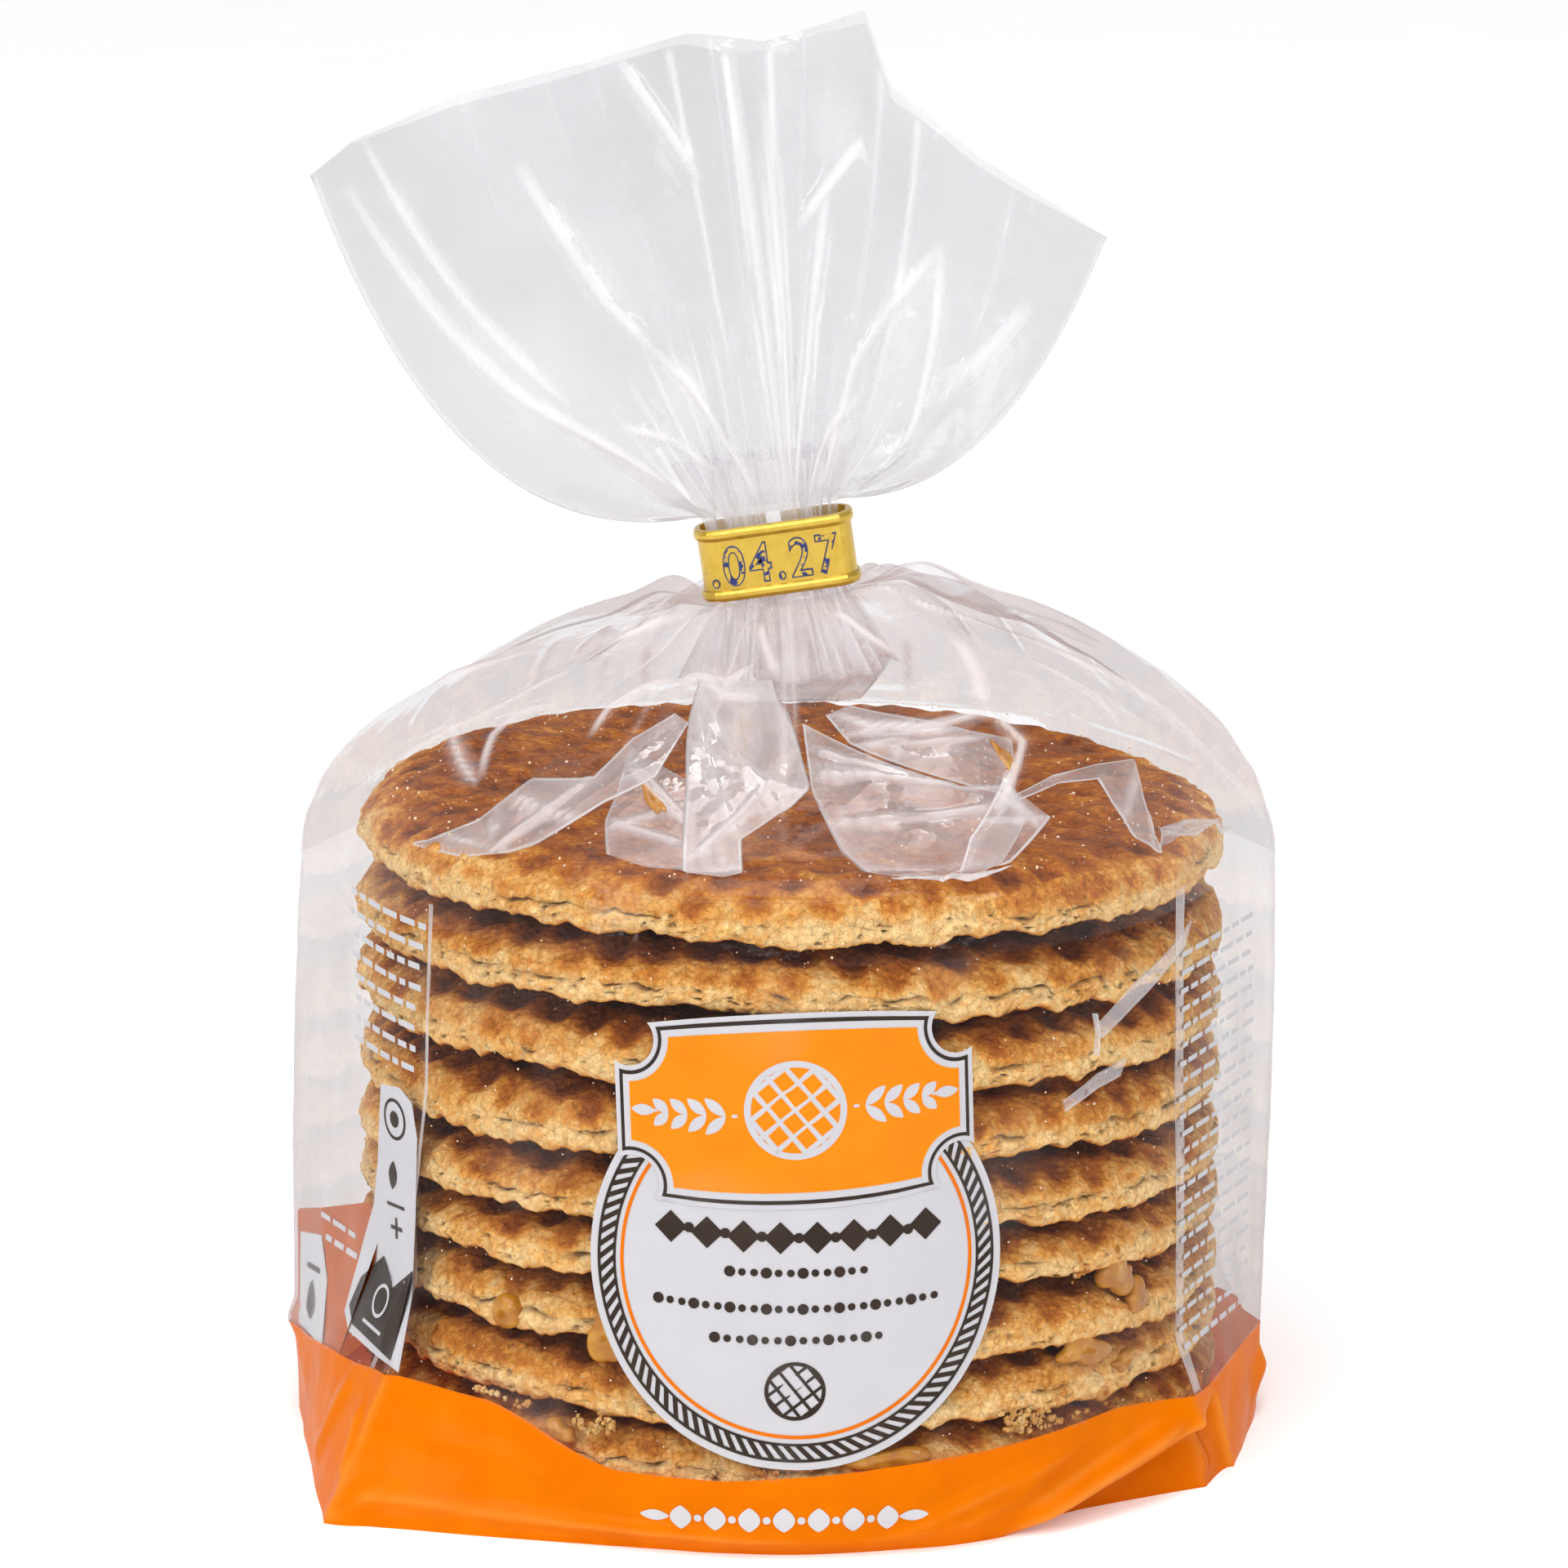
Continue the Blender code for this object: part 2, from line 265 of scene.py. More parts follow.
def mesh_piece(name, points, faces, material, masks=None):
    """Object from points and lists of faces, with point masks for its material."""
    mesh = bpy.data.meshes.new(name)
    points = np.ascontiguousarray(points, dtype=np.float32).reshape(-1, 3)
    mesh.vertices.add(len(points))
    mesh.vertices.foreach_set("co", points.ravel())
    corners = np.concatenate([part.ravel() for part in faces]).astype(np.int32)
    sizes = np.concatenate([np.full(len(part), part.shape[1]) for part in faces])
    starts = np.concatenate([[0], np.cumsum(sizes)[:-1]]).astype(np.int32)
    mesh.loops.add(len(corners))
    mesh.loops.foreach_set("vertex_index", corners)
    mesh.polygons.add(len(sizes))
    mesh.polygons.foreach_set("loop_start", starts)
    mesh.update(calc_edges=True)
    mesh.shade_smooth()
    for key, values in (masks or {}).items():
        layer = mesh.attributes.new(key, "FLOAT", "POINT")
        layer.data.foreach_set("value", np.ascontiguousarray(values, dtype=np.float32).ravel())
    if material is not None:
        mesh.materials.append(material)
    piece = bpy.data.objects.new(name, mesh)
    scene.collection.objects.link(piece)
    return piece


def wear_bag(piece):
    """Say that a piece stands for the bag: attach it to the root and hide the solid bag."""
    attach(piece, "root")
    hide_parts("bag")
    print(piece.name, len(piece.data.polygons), "faces")
    return piece


def fan_faces(middle, ring):
    """Triangles from a middle point to a closed ring of points."""
    return np.stack([np.full(len(ring), middle), ring, np.roll(ring, -1)], axis=-1)


def solid_of_rings(name, points, material, masks=None):
    """Closed skin over rings of points, each end shut by a fan to its middle."""
    rows, columns = points.shape[:2]
    ends = np.stack([points[0].mean(axis=0), points[-1].mean(axis=0)])
    last_ring = np.arange((rows - 1) * columns, rows * columns)
    faces = [
        grid_faces(rows, columns)[:, ::-1],
        fan_faces(rows * columns, np.arange(columns)),
        fan_faces(rows * columns + 1, last_ring[::-1]),
    ]
    whole = {key: np.concatenate([mask.ravel(), [mask[0].mean(), mask[-1].mean()]])
             for key, mask in (masks or {}).items()}
    return mesh_piece(name, np.concatenate([points.reshape(-1, 3), ends]), faces, material, whole)


def lattice_value(key, seed):
    """Value from -1 to 1 that belongs to a whole-number place, the same in each run."""
    mixed = key[..., 0] * 374761393 + key[..., 1] * 668265263 + key[..., 2] * 1103515245
    mixed = (mixed + seed * 1274126177) & 0xFFFFFFFF
    mixed = ((mixed ^ (mixed >> 13)) * 1274126177) & 0xFFFFFFFF
    return ((mixed ^ (mixed >> 16)) & 0xFFFF) / 32767.5 - 1.0


def value_noise(points, grain, seed):
    """Smooth noise from -1 to 1 at each point; grain is the size of its lumps."""
    scaled = points / grain
    cell = np.floor(scaled).astype(np.int64)
    part = scaled - cell
    part = part * part * (3.0 - 2.0 * part)
    total = np.zeros(points.shape[:-1])
    for corner in range(8):
        offset = np.array([corner & 1, corner >> 1 & 1, corner >> 2 & 1])
        share = np.where(offset, part, 1.0 - part).prod(axis=-1)
        total += lattice_value(cell + offset, seed) * share
    return total


def facet_noise(points, grain, seed):
    """Noise of flat facets that meet in sharp creases, from -1 to 1."""
    scaled = points / grain
    cell = np.floor(scaled).astype(np.int64)
    part = scaled - cell
    order = np.argsort(-part, axis=-1)
    part = np.take_along_axis(part, order, axis=-1)
    total = (1.0 - part[..., 0]) * lattice_value(cell, seed)
    for step in range(3):
        cell = cell + (np.arange(3) == order[..., step:step + 1])
        after = part[..., step + 1] if step < 2 else 0.0
        total += (part[..., step] - after) * lattice_value(cell, seed)
    return total


def layered_noise(points, grain, seed, layers=3):
    """Several value noises, each half as large and half as strong as the one before."""
    total = np.zeros(points.shape[:-1])
    for layer in range(layers):
        total += value_noise(points, grain / 2 ** layer, seed + 17 * layer) / 2 ** layer
    return total


def ease(start, end, values):
    """Smooth step from 0 at start to 1 at end."""
    amount = np.clip((values - start) / (end - start), 0.0, 1.0)
    return amount * amount * (3.0 - 2.0 * amount)


def blend(low, high, amount):
    """Straight mix of two values."""
    return low + (high - low) * amount


# %% [markdown]
# ## Wafers
# A caramel wafer is two thin waffles pressed on a layer of syrup and cut round while warm. So its faces are
# toasted brown and carry the iron's lattice, and its cut rim is pale, crumbly and full of small holes. One
# function makes a wafer as a polar grid: top face, rim wall and underside in one closed skin. It is called
# ten times with another seed, turn and lean, because no two in a stack are alike. The lowest are drawn in
# a little, because the foot of the bag narrows at the floor.

# %% Wafer finish
WAFER_RADIUS = 46.9 * MM
FILM_INSIDE = 48.0 * MM
DRAW_IN = 3.2 * MM
DRAW_IN_HEIGHT = 8.0 * MM
WAFER_FLOOR = 0.45 * MM
WAFER_SETTLE = 0.25 * MM


def wafer_material():
    """Baked crust: pale crumb at the cut, golden then brown where the iron touched; its holes and crevices
    are darkened as painted shade.
    """
    material, tree, shader = new_material("baked_wafer")
    place = place_of(tree)
    bake = node(tree, "ShaderNodeAttribute", attribute_name="bake").outputs["Fac"]
    pit_shade = node(tree, "ShaderNodeAttribute", attribute_name="pit_shade").outputs["Fac"]
    patches = noise_of(tree, place, 0.007, 4.0, 0.6)
    grains = noise_of(tree, place, 0.0009, 4.0, 0.7)
    spread = maths(tree, "MULTIPLY", maths(tree, "SUBTRACT", patches, 0.5), 1.0)
    fine = maths(tree, "MULTIPLY", maths(tree, "SUBTRACT", grains, 0.5), 0.80)
    toast = maths(tree, "ADD", maths(tree, "ADD", bake, spread), fine)
    colour = ramp(tree, toast, [
        (0.0, (1.0, 0.700, 0.310)),
        (0.18, (0.94, 0.530, 0.155)),
        (0.36, (0.79, 0.330, 0.048)),
        (0.54, (0.57, 0.180, 0.018)),
        (0.74, (0.39, 0.102, 0.010)),
        (1.0, (0.155, 0.034, 0.005)),
    ])
    specks = node(tree, "ShaderNodeTexVoronoi", scale=1.0 / 0.0021, randomness=1.0)
    tree.links.new(place, specks.inputs["Vector"])
    speck = ramp(tree, specks.outputs["Distance"], [(0.07, (1.0, 1.0, 1.0)), (0.12, (0.0, 0.0, 0.0))])
    speck_mask = maths(tree, "MULTIPLY", speck, 0.60)
    colour = mix_colour(tree, speck_mask, colour, (0.78, 0.50, 0.24))
    crumb = node(tree, "ShaderNodeTexVoronoi", scale=1.0 / 0.00085)
    tree.links.new(place, crumb.inputs["Vector"])
    # Painted shade: the crust is multiplied darker along the crumb pattern's crevices.
    crevice_shade = ramp(tree, crumb.outputs["Distance"], [(0.30, (0.0, 0.0, 0.0)), (0.80, (0.42, 0.42, 0.42))])
    colour = mix_colour(tree, crevice_shade, colour, (0.72, 0.42, 0.16), "MULTIPLY")
    # Painted shade: the rim's holes and slits are darkened towards near black.
    colour = mix_colour(tree, maths(tree, "MULTIPLY", pit_shade, 0.85), colour, (0.13, 0.050, 0.014))
    tree.links.new(colour, shader.inputs["Base Color"])
    gloss = ramp(tree, toast, [(0.35, (0.78, 0.78, 0.78)), (0.9, (0.42, 0.42, 0.42))])
    tree.links.new(gloss, shader.inputs["Roughness"])
    shader.inputs["Specular IOR Level"].default_value = 0.24
    normal = bump(tree, noise_of(tree, place, 0.0012, 5.0, 0.75), 0.0010)
    normal = bump(tree, crumb.outputs["Distance"], 0.0005, 0.9, under=normal)
    tree.links.new(normal, shader.inputs["Normal"])
    return material


# %% Wafer shape
LATTICE_PITCH = 5.0 * MM
LATTICE_DEPTH = 0.95 * MM
RIM_WALL = 2.5 * MM
RIM_SLOPE = 8.0 * MM
SLIT_PLACE = 0.10
SLIT_COUNT = 34
PORE_COUNT = 260


def wafer_lattice(x, y, turn):
    """The iron's lattice: 0 on its raised lines, 1 in the middle of each dimple."""
    along = x * math.cos(turn) + y * math.sin(turn)
    across = y * math.cos(turn) - x * math.sin(turn)
    dimple = np.sin(math.pi * along / LATTICE_PITCH) ** 2 * np.sin(math.pi * across / LATTICE_PITCH) ** 2
    return dimple ** 0.6


def wafer_room(height):
    """Radius that the wafers keep within: the foot draws them in near the floor."""
    return FILM_INSIDE - DRAW_IN * np.maximum(0.0, 1.0 - height / DRAW_IN_HEIGHT) ** 2


def rim_holes(rng, headings, heights, count, level, wide, tall):
    """Holes in the cut rim, as a depth from 0 to 1, which also darkens them as painted shade; wide and tall
    give their least and most size.
    """
    holes = np.zeros(headings.shape)
    for _ in range(count):
        centre = rng.uniform(0.0, 2.0 * math.pi)
        half_width = rng.uniform(*wide) * MM / WAFER_RADIUS
        half_height = rng.uniform(*tall)
        middle = rng.normal(*level)
        depth = rng.uniform(0.55, 1.0)
        off = (headings - centre + math.pi) % (2.0 * math.pi) - math.pi
        reach = (off / half_width) ** 2 + ((heights - middle) / half_height) ** 2
        holes = np.maximum(holes, depth * np.exp(-reach ** 1.5))
    return holes


def wafer_rows(top_start, top_rows, wall_rows, under_rows):
    """Radius and zone of each row: zone is 0 on the top face, 0 to 1 down the wall, 1 below."""
    inner = np.linspace(0.0, 1.0, top_rows) ** 0.6
    radius = np.concatenate([
        blend(top_start, WAFER_RADIUS, inner),
        np.full(wall_rows, WAFER_RADIUS),
        blend(WAFER_RADIUS, WAFER_RADIUS - 9.0 * MM, np.linspace(0.0, 1.0, under_rows)),
    ])
    down_wall = np.linspace(0.0, 1.0, wall_rows + 2)[1:-1]
    zone = np.concatenate([np.zeros(top_rows), down_wall, np.ones(under_rows)])
    return radius[:, None], zone[:, None]


def build_wafer(name, material, level, lean, curl, thick, face, seed, columns, top_rows, top_start):
    """One wafer standing at a level, leaning sideways and curling a little."""
    rng = np.random.default_rng(seed)
    turn = rng.uniform(0.0, math.pi)
    radius, zone = wafer_rows(top_start, top_rows, wall_rows=11, under_rows=4)
    heading = np.arange(columns)[None, :] * 2.0 * math.pi / columns
    radius, zone, heading = np.broadcast_arrays(radius, zone, heading)
    ring = np.stack([np.cos(heading) * 0.02, np.sin(heading) * 0.02, 0.0 * heading + seed], axis=-1)
    warp = 1.6 * MM * value_noise(ring, 0.006, seed + 23)
    swell = 1.0 + 0.32 * MM * layered_noise(ring, 0.006, seed, 4) / WAFER_RADIUS
    x = radius * swell * np.cos(heading)
    y = radius * swell * np.sin(heading)
    flat = np.stack([x, y, np.full_like(x, 0.01 * seed)], axis=-1)
    dimple = wafer_lattice(x + warp, y - warp, turn) * (0.75 + 0.35 * value_noise(flat, 6.0 * MM, seed + 27))
    slope = np.clip((radius - WAFER_RADIUS + RIM_SLOPE) / RIM_SLOPE, 0.0, 1.0)
    shoulder = np.maximum(1.0 - slope ** 1.8, 0.0) ** 0.60
    lump = 0.30 * MM * value_noise(flat, 9.0 * MM, seed) + 0.24 * MM * value_noise(flat, 2.0 * MM, seed + 3)
    near_rim = ease(0.0, 0.7, slope)
    pressed = LATTICE_DEPTH * dimple * blend(0.45, 1.0, near_rim) * (1.0 - 0.5 * slope ** 6)
    top = blend(RIM_WALL, thick, shoulder) - pressed + lump
    under_dimple = wafer_lattice(x - warp, y + 1.3 * warp, turn + 0.4)
    rough = 0.55 * MM * value_noise(flat, 3.7 * MM, seed + 5)
    rough += 0.34 * MM * value_noise(flat, 1.5 * MM, seed + 6)
    under = 0.42 * MM * under_dimple * (0.8 + 0.5 * value_noise(flat, 7.0 * MM, seed + 28)) + rough
    z = blend(top, under, zone)
    wall = np.where((zone > 0.0) & (zone < 1.0), 1.0, 0.0)
    edge = ease(WAFER_RADIUS - 5.0 * MM, WAFER_RADIUS, radius)
    holes = rim_holes(rng, heading, zone, SLIT_COUNT, (SLIT_PLACE, 0.03), (0.8, 2.6), (0.07, 0.13))
    pores = rim_holes(rng, heading, zone, PORE_COUNT, (0.35, 0.22), (0.12, 0.32), (0.03, 0.08))
    holes = np.maximum(holes, pores)
    body = np.stack([x, y, z + 0.01 * seed], axis=-1)
    ragged = 0.5 + 0.5 * value_noise(body, 2.4 * MM, seed + 17)
    grit = 1.0 + 0.8 * value_noise(body, 0.5 * MM, seed + 19)
    holes = np.clip(holes * wall * (0.45 + ragged) * grit, 0.0, 1.0)
    crumb = 0.30 * MM * layered_noise(body, 1.5 * MM, seed + 7, 3)
    crumb += 0.20 * MM * value_noise(body, 0.5 * MM, seed + 11)
    lower = wall * np.sin(math.pi * np.clip((zone - SLIT_PLACE) / (1.0 - SLIT_PLACE), 0.0, 1.0)) ** 0.7
    out = edge * (crumb + 0.55 * MM * lower - 0.8 * MM * holes)
    x = x + out * np.cos(heading) + STACK_MIDDLE
    y = y + out * np.sin(heading)
    ripple = 0.24 * MM * value_noise(body, 0.8 * MM, seed + 13)
    ripple += 0.30 * MM * value_noise(body, 2.1 * MM, seed + 15)
    z = z + edge * ripple
    bake = 0.18 + 0.26 * ease(0.0, 0.35, shoulder) + (face - 0.44) * ease(0.40, 0.94, shoulder)
    bake = bake + 0.48 * (dimple - 0.40) * ease(0.05, 0.4, shoulder) * blend(0.45, 1.0, ease(0.0, 0.6, slope))
    bake = bake + 0.10 * value_noise(flat, 1.6 * MM, seed + 31)
    bake = np.where(zone > 0.0, 0.08 + 0.34 * ease(0.80, 1.0, zone), bake)
    bake = np.where(zone >= 1.0, blend(0.48, 0.85, ease(0.0, 3.0 * MM, WAFER_RADIUS - radius)), bake)
    z = z + level + lean * x + curl * (x / WAFER_RADIUS) ** 2
    above = z - WAFER_FLOOR
    z = WAFER_FLOOR + 0.5 * (above + np.sqrt(above ** 2 + WAFER_SETTLE ** 2))
    squeeze = np.minimum(1.0, wafer_room(z) / (np.hypot(x, y) + 1e-9))
    points = np.stack([x * squeeze, y * squeeze, z], axis=-1)
    return wear_bag(solid_of_rings(name, points, material, {"bake": bake, "pit_shade": holes}))


# %% Stack of ten
STACK_MIDDLE = 0.8 * MM
TOP_TOAST = 0.72
# Lower wafers' faces, seen only in the gaps between wafers, are toasted darker: painted shade of the gaps.
GAP_SHADE_TOAST = 0.94
TOP_DETAIL = (680, 80, 1.0 * MM)
RIM_DETAIL = (520, 14, 37.0 * MM)
WAFERS = (
    (65.7, -0.021, 0.1, 6.2),
    (58.2, -0.033, -1.4, 6.3),
    (50.1, -0.030, -0.9, 6.4),
    (42.4, -0.016, -1.8, 6.4),
    (34.8, -0.021, -1.6, 6.0),
    (28.8, -0.027, -1.9, 5.2),
    (21.3, -0.036, -1.3, 5.9),
    (13.7, -0.022, -0.2, 6.4),
    (6.9, -0.018, -0.3, 6.0),
    (0.7, -0.004, 0.0, 5.4),
)


def build_stack():
    """The whole stack, top wafer finest because its face is seen; the lower wafers' faces are darker, as
    painted shade.
    """
    for index, (level, lean, curl, thick) in enumerate(WAFERS):
        first = index == 0
        columns, top_rows, top_start = TOP_DETAIL if first else RIM_DETAIL
        face = TOP_TOAST if first else GAP_SHADE_TOAST
        build_wafer(f"wafer_{index + 1}", WAFER_CRUST, level * MM, lean, curl * MM, thick * MM,
                    face, 40 + index, columns, top_rows, top_start)


WAFER_CRUST = wafer_material()
build_stack()

# %% [markdown]
# ## Film: where it runs
# The bag is one tube of thin clear film. Round the stack it is taut: from above, its section is a circle
# with corners pulled out where the side folds and the block bottom are. Above the top wafer it closes to the
# neck. These few functions give that path for any heading and height, with the sizes of the solid bag, so
# the film, the printed foot and the labels all lie on one surface.

# %% Taut film round the stack
BODY_RADIUS = 48.3 * MM
BODY_TOP = 64.0 * MM
LEFT_REACH = (54.2 * MM, 54.4 * MM, 52.9 * MM)
RIGHT_REACH = (52.4 * MM, 53.8 * MM, 53.9 * MM)
FOOT_CORNERS = (
    (-52.5, 61.2 * MM, 24.0 * MM),
    (60.0, 54.6 * MM, 16.0 * MM),
    (-127.5, 57.0 * MM, 20.0 * MM),
    (127.5, 58.5 * MM, 22.0 * MM),
)


def three_way(values, amount):
    """Curve through three values at 0, one half and 1."""
    low, middle, high = values
    near = 2.0 * (amount - 0.5) * (amount - 1.0) * low
    far = 2.0 * amount * (amount - 0.5) * high
    return near + 4.0 * amount * (1.0 - amount) * middle + far


def corner_radius(heading, corner_heading, reach):
    """Taut film from the round stack out to a corner and back."""
    opening = np.arccos(np.minimum(1.0, BODY_RADIUS / reach))
    off = np.abs((heading - corner_heading + math.pi) % (2.0 * math.pi) - math.pi)
    return BODY_RADIUS / np.cos(np.maximum(0.0, opening - off))


def chord_radius(heading, first, second):
    """Taut film straight across between two corners, each a heading and a reach."""
    (start, start_reach), (end, end_reach) = first, second
    span = (end - start) % (2.0 * math.pi)
    along = (heading - start) % (2.0 * math.pi)
    across = start_reach * np.sin(along) + end_reach * np.sin(span - along)
    inside = along <= span
    radius = start_reach * end_reach * math.sin(span) / np.where(inside, across, 1.0)
    return np.where(inside, radius, 0.0)


def body_radius(heading, height):
    """Radius of the taut film at headings and heights."""
    rise = np.clip(height / BODY_TOP, 0.0, 1.0)
    corners = [(0.0, three_way(RIGHT_REACH, rise)), (math.pi, three_way(LEFT_REACH, rise))]
    for from_front, floor_reach, fold_height in FOOT_CORNERS:
        fading = np.maximum(0.0, 1.0 - height / fold_height)
        reach = blend(BODY_RADIUS, floor_reach, fading)
        corners.append((math.radians(from_front - 90.0) % (2.0 * math.pi), reach))
    corners.sort(key=lambda corner: corner[0])
    radius = np.full(np.broadcast(heading, height).shape, BODY_RADIUS)
    for corner, after in zip(corners, corners[1:] + corners[:1]):
        radius = np.maximum(radius, corner_radius(heading, *corner))
        radius = np.maximum(radius, chord_radius(heading, corner, after))
    return radius


# %% Gathered neck and dome
CLIP_CENTRE = ((clip_low + clip_high) / 2).to_tuple()
CLIP_LEAN = math.radians(8.0)
CLIP_HEIGHT = 7.9 * MM
NECK_HALF_WIDTH = 7.4 * MM
NECK_HALF_DEPTH = 2.35 * MM
NECK_CLEAR = 1.1 * MM


def neck_point(heading, along):
    """Gathered film at headings and a signed distance along the clip's axis."""
    across = np.abs(np.cos(heading)) ** 0.7 * np.sign(np.cos(heading))
    deep = np.abs(np.sin(heading)) ** 0.8 * np.sign(np.sin(heading))
    x = CLIP_CENTRE[0] - along * math.sin(CLIP_LEAN) + NECK_HALF_WIDTH * across
    y = NECK_HALF_DEPTH * deep * (0.93 + 0.07 * np.sin(23.0 * heading))
    z = CLIP_CENTRE[2] + along / math.cos(CLIP_LEAN) + (x - CLIP_CENTRE[0]) * math.tan(CLIP_LEAN)
    return x, y, z


def dome_point(heading, amount):
    """Film over the top wafer, from the body's top at 0 to the neck at 1."""
    radius = body_radius(heading, BODY_TOP)
    neck_x, neck_y, neck_z = neck_point(heading, -CLIP_HEIGHT / 2 - NECK_CLEAR)
    sideways = np.abs(np.cos(heading))
    power = blend(1.35, 1.95, sideways)
    turn = amount * math.pi / 2.0
    outward = np.maximum(np.cos(turn), 0.0) ** (2.0 / power)
    upward = np.maximum(np.sin(turn), 0.0) ** (2.0 / power)
    bump_up = 2.2 * MM * sideways * np.exp(-(((outward - 0.16) / 0.1) ** 2))
    x = blend(neck_x, radius * np.cos(heading), outward)
    y = blend(neck_y, radius * np.sin(heading), outward)
    z = blend(BODY_TOP, neck_z, upward) + bump_up
    return np.stack(np.broadcast_arrays(x, y, z), axis=-1)


# %% Fan above the clip
MOUTH_X = np.array([-50.6, -46.2, -34.8, -10.4, -2.2, 8.6, 11.4, 20.9, 34.6]) * MM
MOUTH_Z = np.array([138.4, 142.0, 146.6, 152.9, 152.2, 155.6, 147.4, 139.9, 131.8]) * MM
LEFT_LOBE = (-36.0 * MM, 95.8 * MM)
RIGHT_LOBE = (23.2 * MM, 102.6 * MM)


def fan_point(heading, amount):
    """Loose film, from the neck at 0 to the mouth at 1."""
    front = heading < 0.0
    across = 1.0 - 2.0 * np.abs(heading) / math.pi
    neck_x, neck_y, neck_z = neck_point(heading, CLIP_HEIGHT / 2 + NECK_CLEAR)
    end_x = blend(MOUTH_X[0], MOUTH_X[-1], (across + 1.0) / 2.0)
    end_z = np.interp(end_x, MOUTH_X, MOUTH_Z)
    lobe_x = np.where(across < 0.0, LEFT_LOBE[0], RIGHT_LOBE[0])
    lobe_z = np.where(across < 0.0, LEFT_LOBE[1], RIGHT_LOBE[1])
    spread = np.abs(across) ** 2.5
    mid_x = blend(blend(neck_x, end_x, 0.5), lobe_x, spread)
    mid_z = blend(blend(neck_z, end_z, 0.5), lobe_z, spread)
    start, middle, end = (1.0 - amount) ** 2, 2.0 * amount * (1.0 - amount), amount ** 2
    x = start * neck_x + middle * mid_x + end * end_x
    z = start * neck_z + middle * mid_z + end * end_z
    rounded = np.maximum(0.0, 1.0 - across * across) ** 0.6
    half = blend(0.9 * MM, 8.0 * MM, rounded)
    shift = np.where(front, 0.0, 1.3)
    wave = 2.0 * MM * np.sin(math.pi * 2.6 * across + 0.4 + shift)
    wave = wave + 1.0 * MM * np.sin(math.pi * 6.3 * across + 1.9 + shift)
    y = neck_y * (1.0 - amount) ** 2 + half * amount * np.where(front, -1.0, 1.0) + wave * amount * rounded
    return np.stack(np.broadcast_arrays(x, y, z), axis=-1)


# %% [markdown]
# ## Film: how it folds
# Film bends but does not stretch. So when a wide tube is drawn into a narrow neck it breaks into flat facets
# that meet in sharp creases, and long pleats run out from the neck. Three tools give that: pleats with
# uneven spacing, a noise made of flat facets, and single creases laid where the bag has been
# pressed. A cloth solver could find such folds too, but it rounds them off and it puts them where it likes.

# %% Creases, pleats and outward directions
def lay_crease(along, across, route, half_width):
    """Sharp ridge from 0 to 1 along a route of places on a surface, fading at both ends."""
    crest = np.zeros(np.broadcast(along, across).shape)
    count = len(route) - 1
    for index, (start, end) in enumerate(zip(route, route[1:])):
        run = (end[0] - start[0], end[1] - start[1])
        share = ((along - start[0]) * run[0] + (across - start[1]) * run[1]) / (run[0] ** 2 + run[1] ** 2)
        share = np.clip(share, 0.0, 1.0)
        off = np.hypot(along - start[0] - share * run[0], across - start[1] - share * run[1])
        whole = (index + share) / count
        fade = np.minimum(1.0, 5.0 * np.minimum(whole + 0.02, 1.02 - whole))
        crest = np.maximum(crest, fade * np.maximum(0.0, 1.0 - off / half_width))
    return crest


def uneven_pleats(heading, count, seed):
    """Sharp pleats round a gather, from -1 to 1, with uneven spacing and depth."""
    rng = np.random.default_rng(seed)
    turn = heading
    for wave in (2, 3, 5):
        turn = turn + 0.5 / wave * rng.uniform(0.4, 1.0) * np.sin(wave * heading + rng.uniform(0.0, 6.3))
    saw = 4.0 * np.abs((turn * count / (2.0 * math.pi)) % 1.0 - 0.5) - 1.0
    ring = np.stack([np.cos(heading), np.sin(heading), 0.0 * heading], axis=-1)
    return saw * (0.65 + 0.35 * value_noise(ring, 0.45, seed))


def grid_normals(points):
    """Outward unit directions of a closed grid."""
    around = np.roll(points, -1, axis=1) - np.roll(points, 1, axis=1)
    normal = np.cross(around, np.gradient(points, axis=0))
    return normal / (np.linalg.norm(normal, axis=-1, keepdims=True) + 1e-12)


def soften(points, rounds):
    """Round off the creases of a closed grid a little; its first and last row stay."""
    for _ in range(rounds):
        middle = points[1:-1]
        sides = np.roll(middle, 1, axis=1) + np.roll(middle, -1, axis=1)
        points[1:-1] = 0.5 * middle + 0.125 * (sides + points[:-2] + points[2:])
    return points


def crease_mask(points):
    """How sharply a closed grid bends at each point, from 0 to 1."""
    side = (np.roll(points, 1, axis=1) + np.roll(points, -1, axis=1)) / 2 - points
    gap = np.linalg.norm(np.roll(points, -1, axis=1) - points, axis=-1) + 1e-6
    normal = grid_normals(points)
    bend = np.abs((side * normal).sum(axis=-1)) / gap
    over = (points[:-2] + points[2:]) / 2 - points[1:-1]
    rise = np.linalg.norm(points[2:] - points[:-2], axis=-1) / 2 + 1e-6
    bend[1:-1] = np.maximum(bend[1:-1], np.abs((over * normal[1:-1]).sum(axis=-1)) / rise)
    bend[[0, -1]] = 0.0
    mask = ease(CREASE_LEAST, CREASE_MOST, bend)
    for _ in range(2):
        sides = np.roll(mask, 1, axis=1) + np.roll(mask, -1, axis=1)
        mask[1:-1] = 0.4 * mask[1:-1] + 0.15 * (sides[1:-1] + mask[:-2] + mask[2:])
    return np.clip(1.3 * mask, 0.0, 1.0)


def film_grid(rows, columns):
    """Headings and amounts of a grid of film, starting at the left side fold."""
    heading = -math.pi + np.arange(columns)[None, :] * 2.0 * math.pi / columns
    amount = np.linspace(0.0, 1.0, rows)[:, None]
    return np.broadcast_arrays(heading, amount)


CREASE_LEAST = 0.05
CREASE_MOST = 0.30

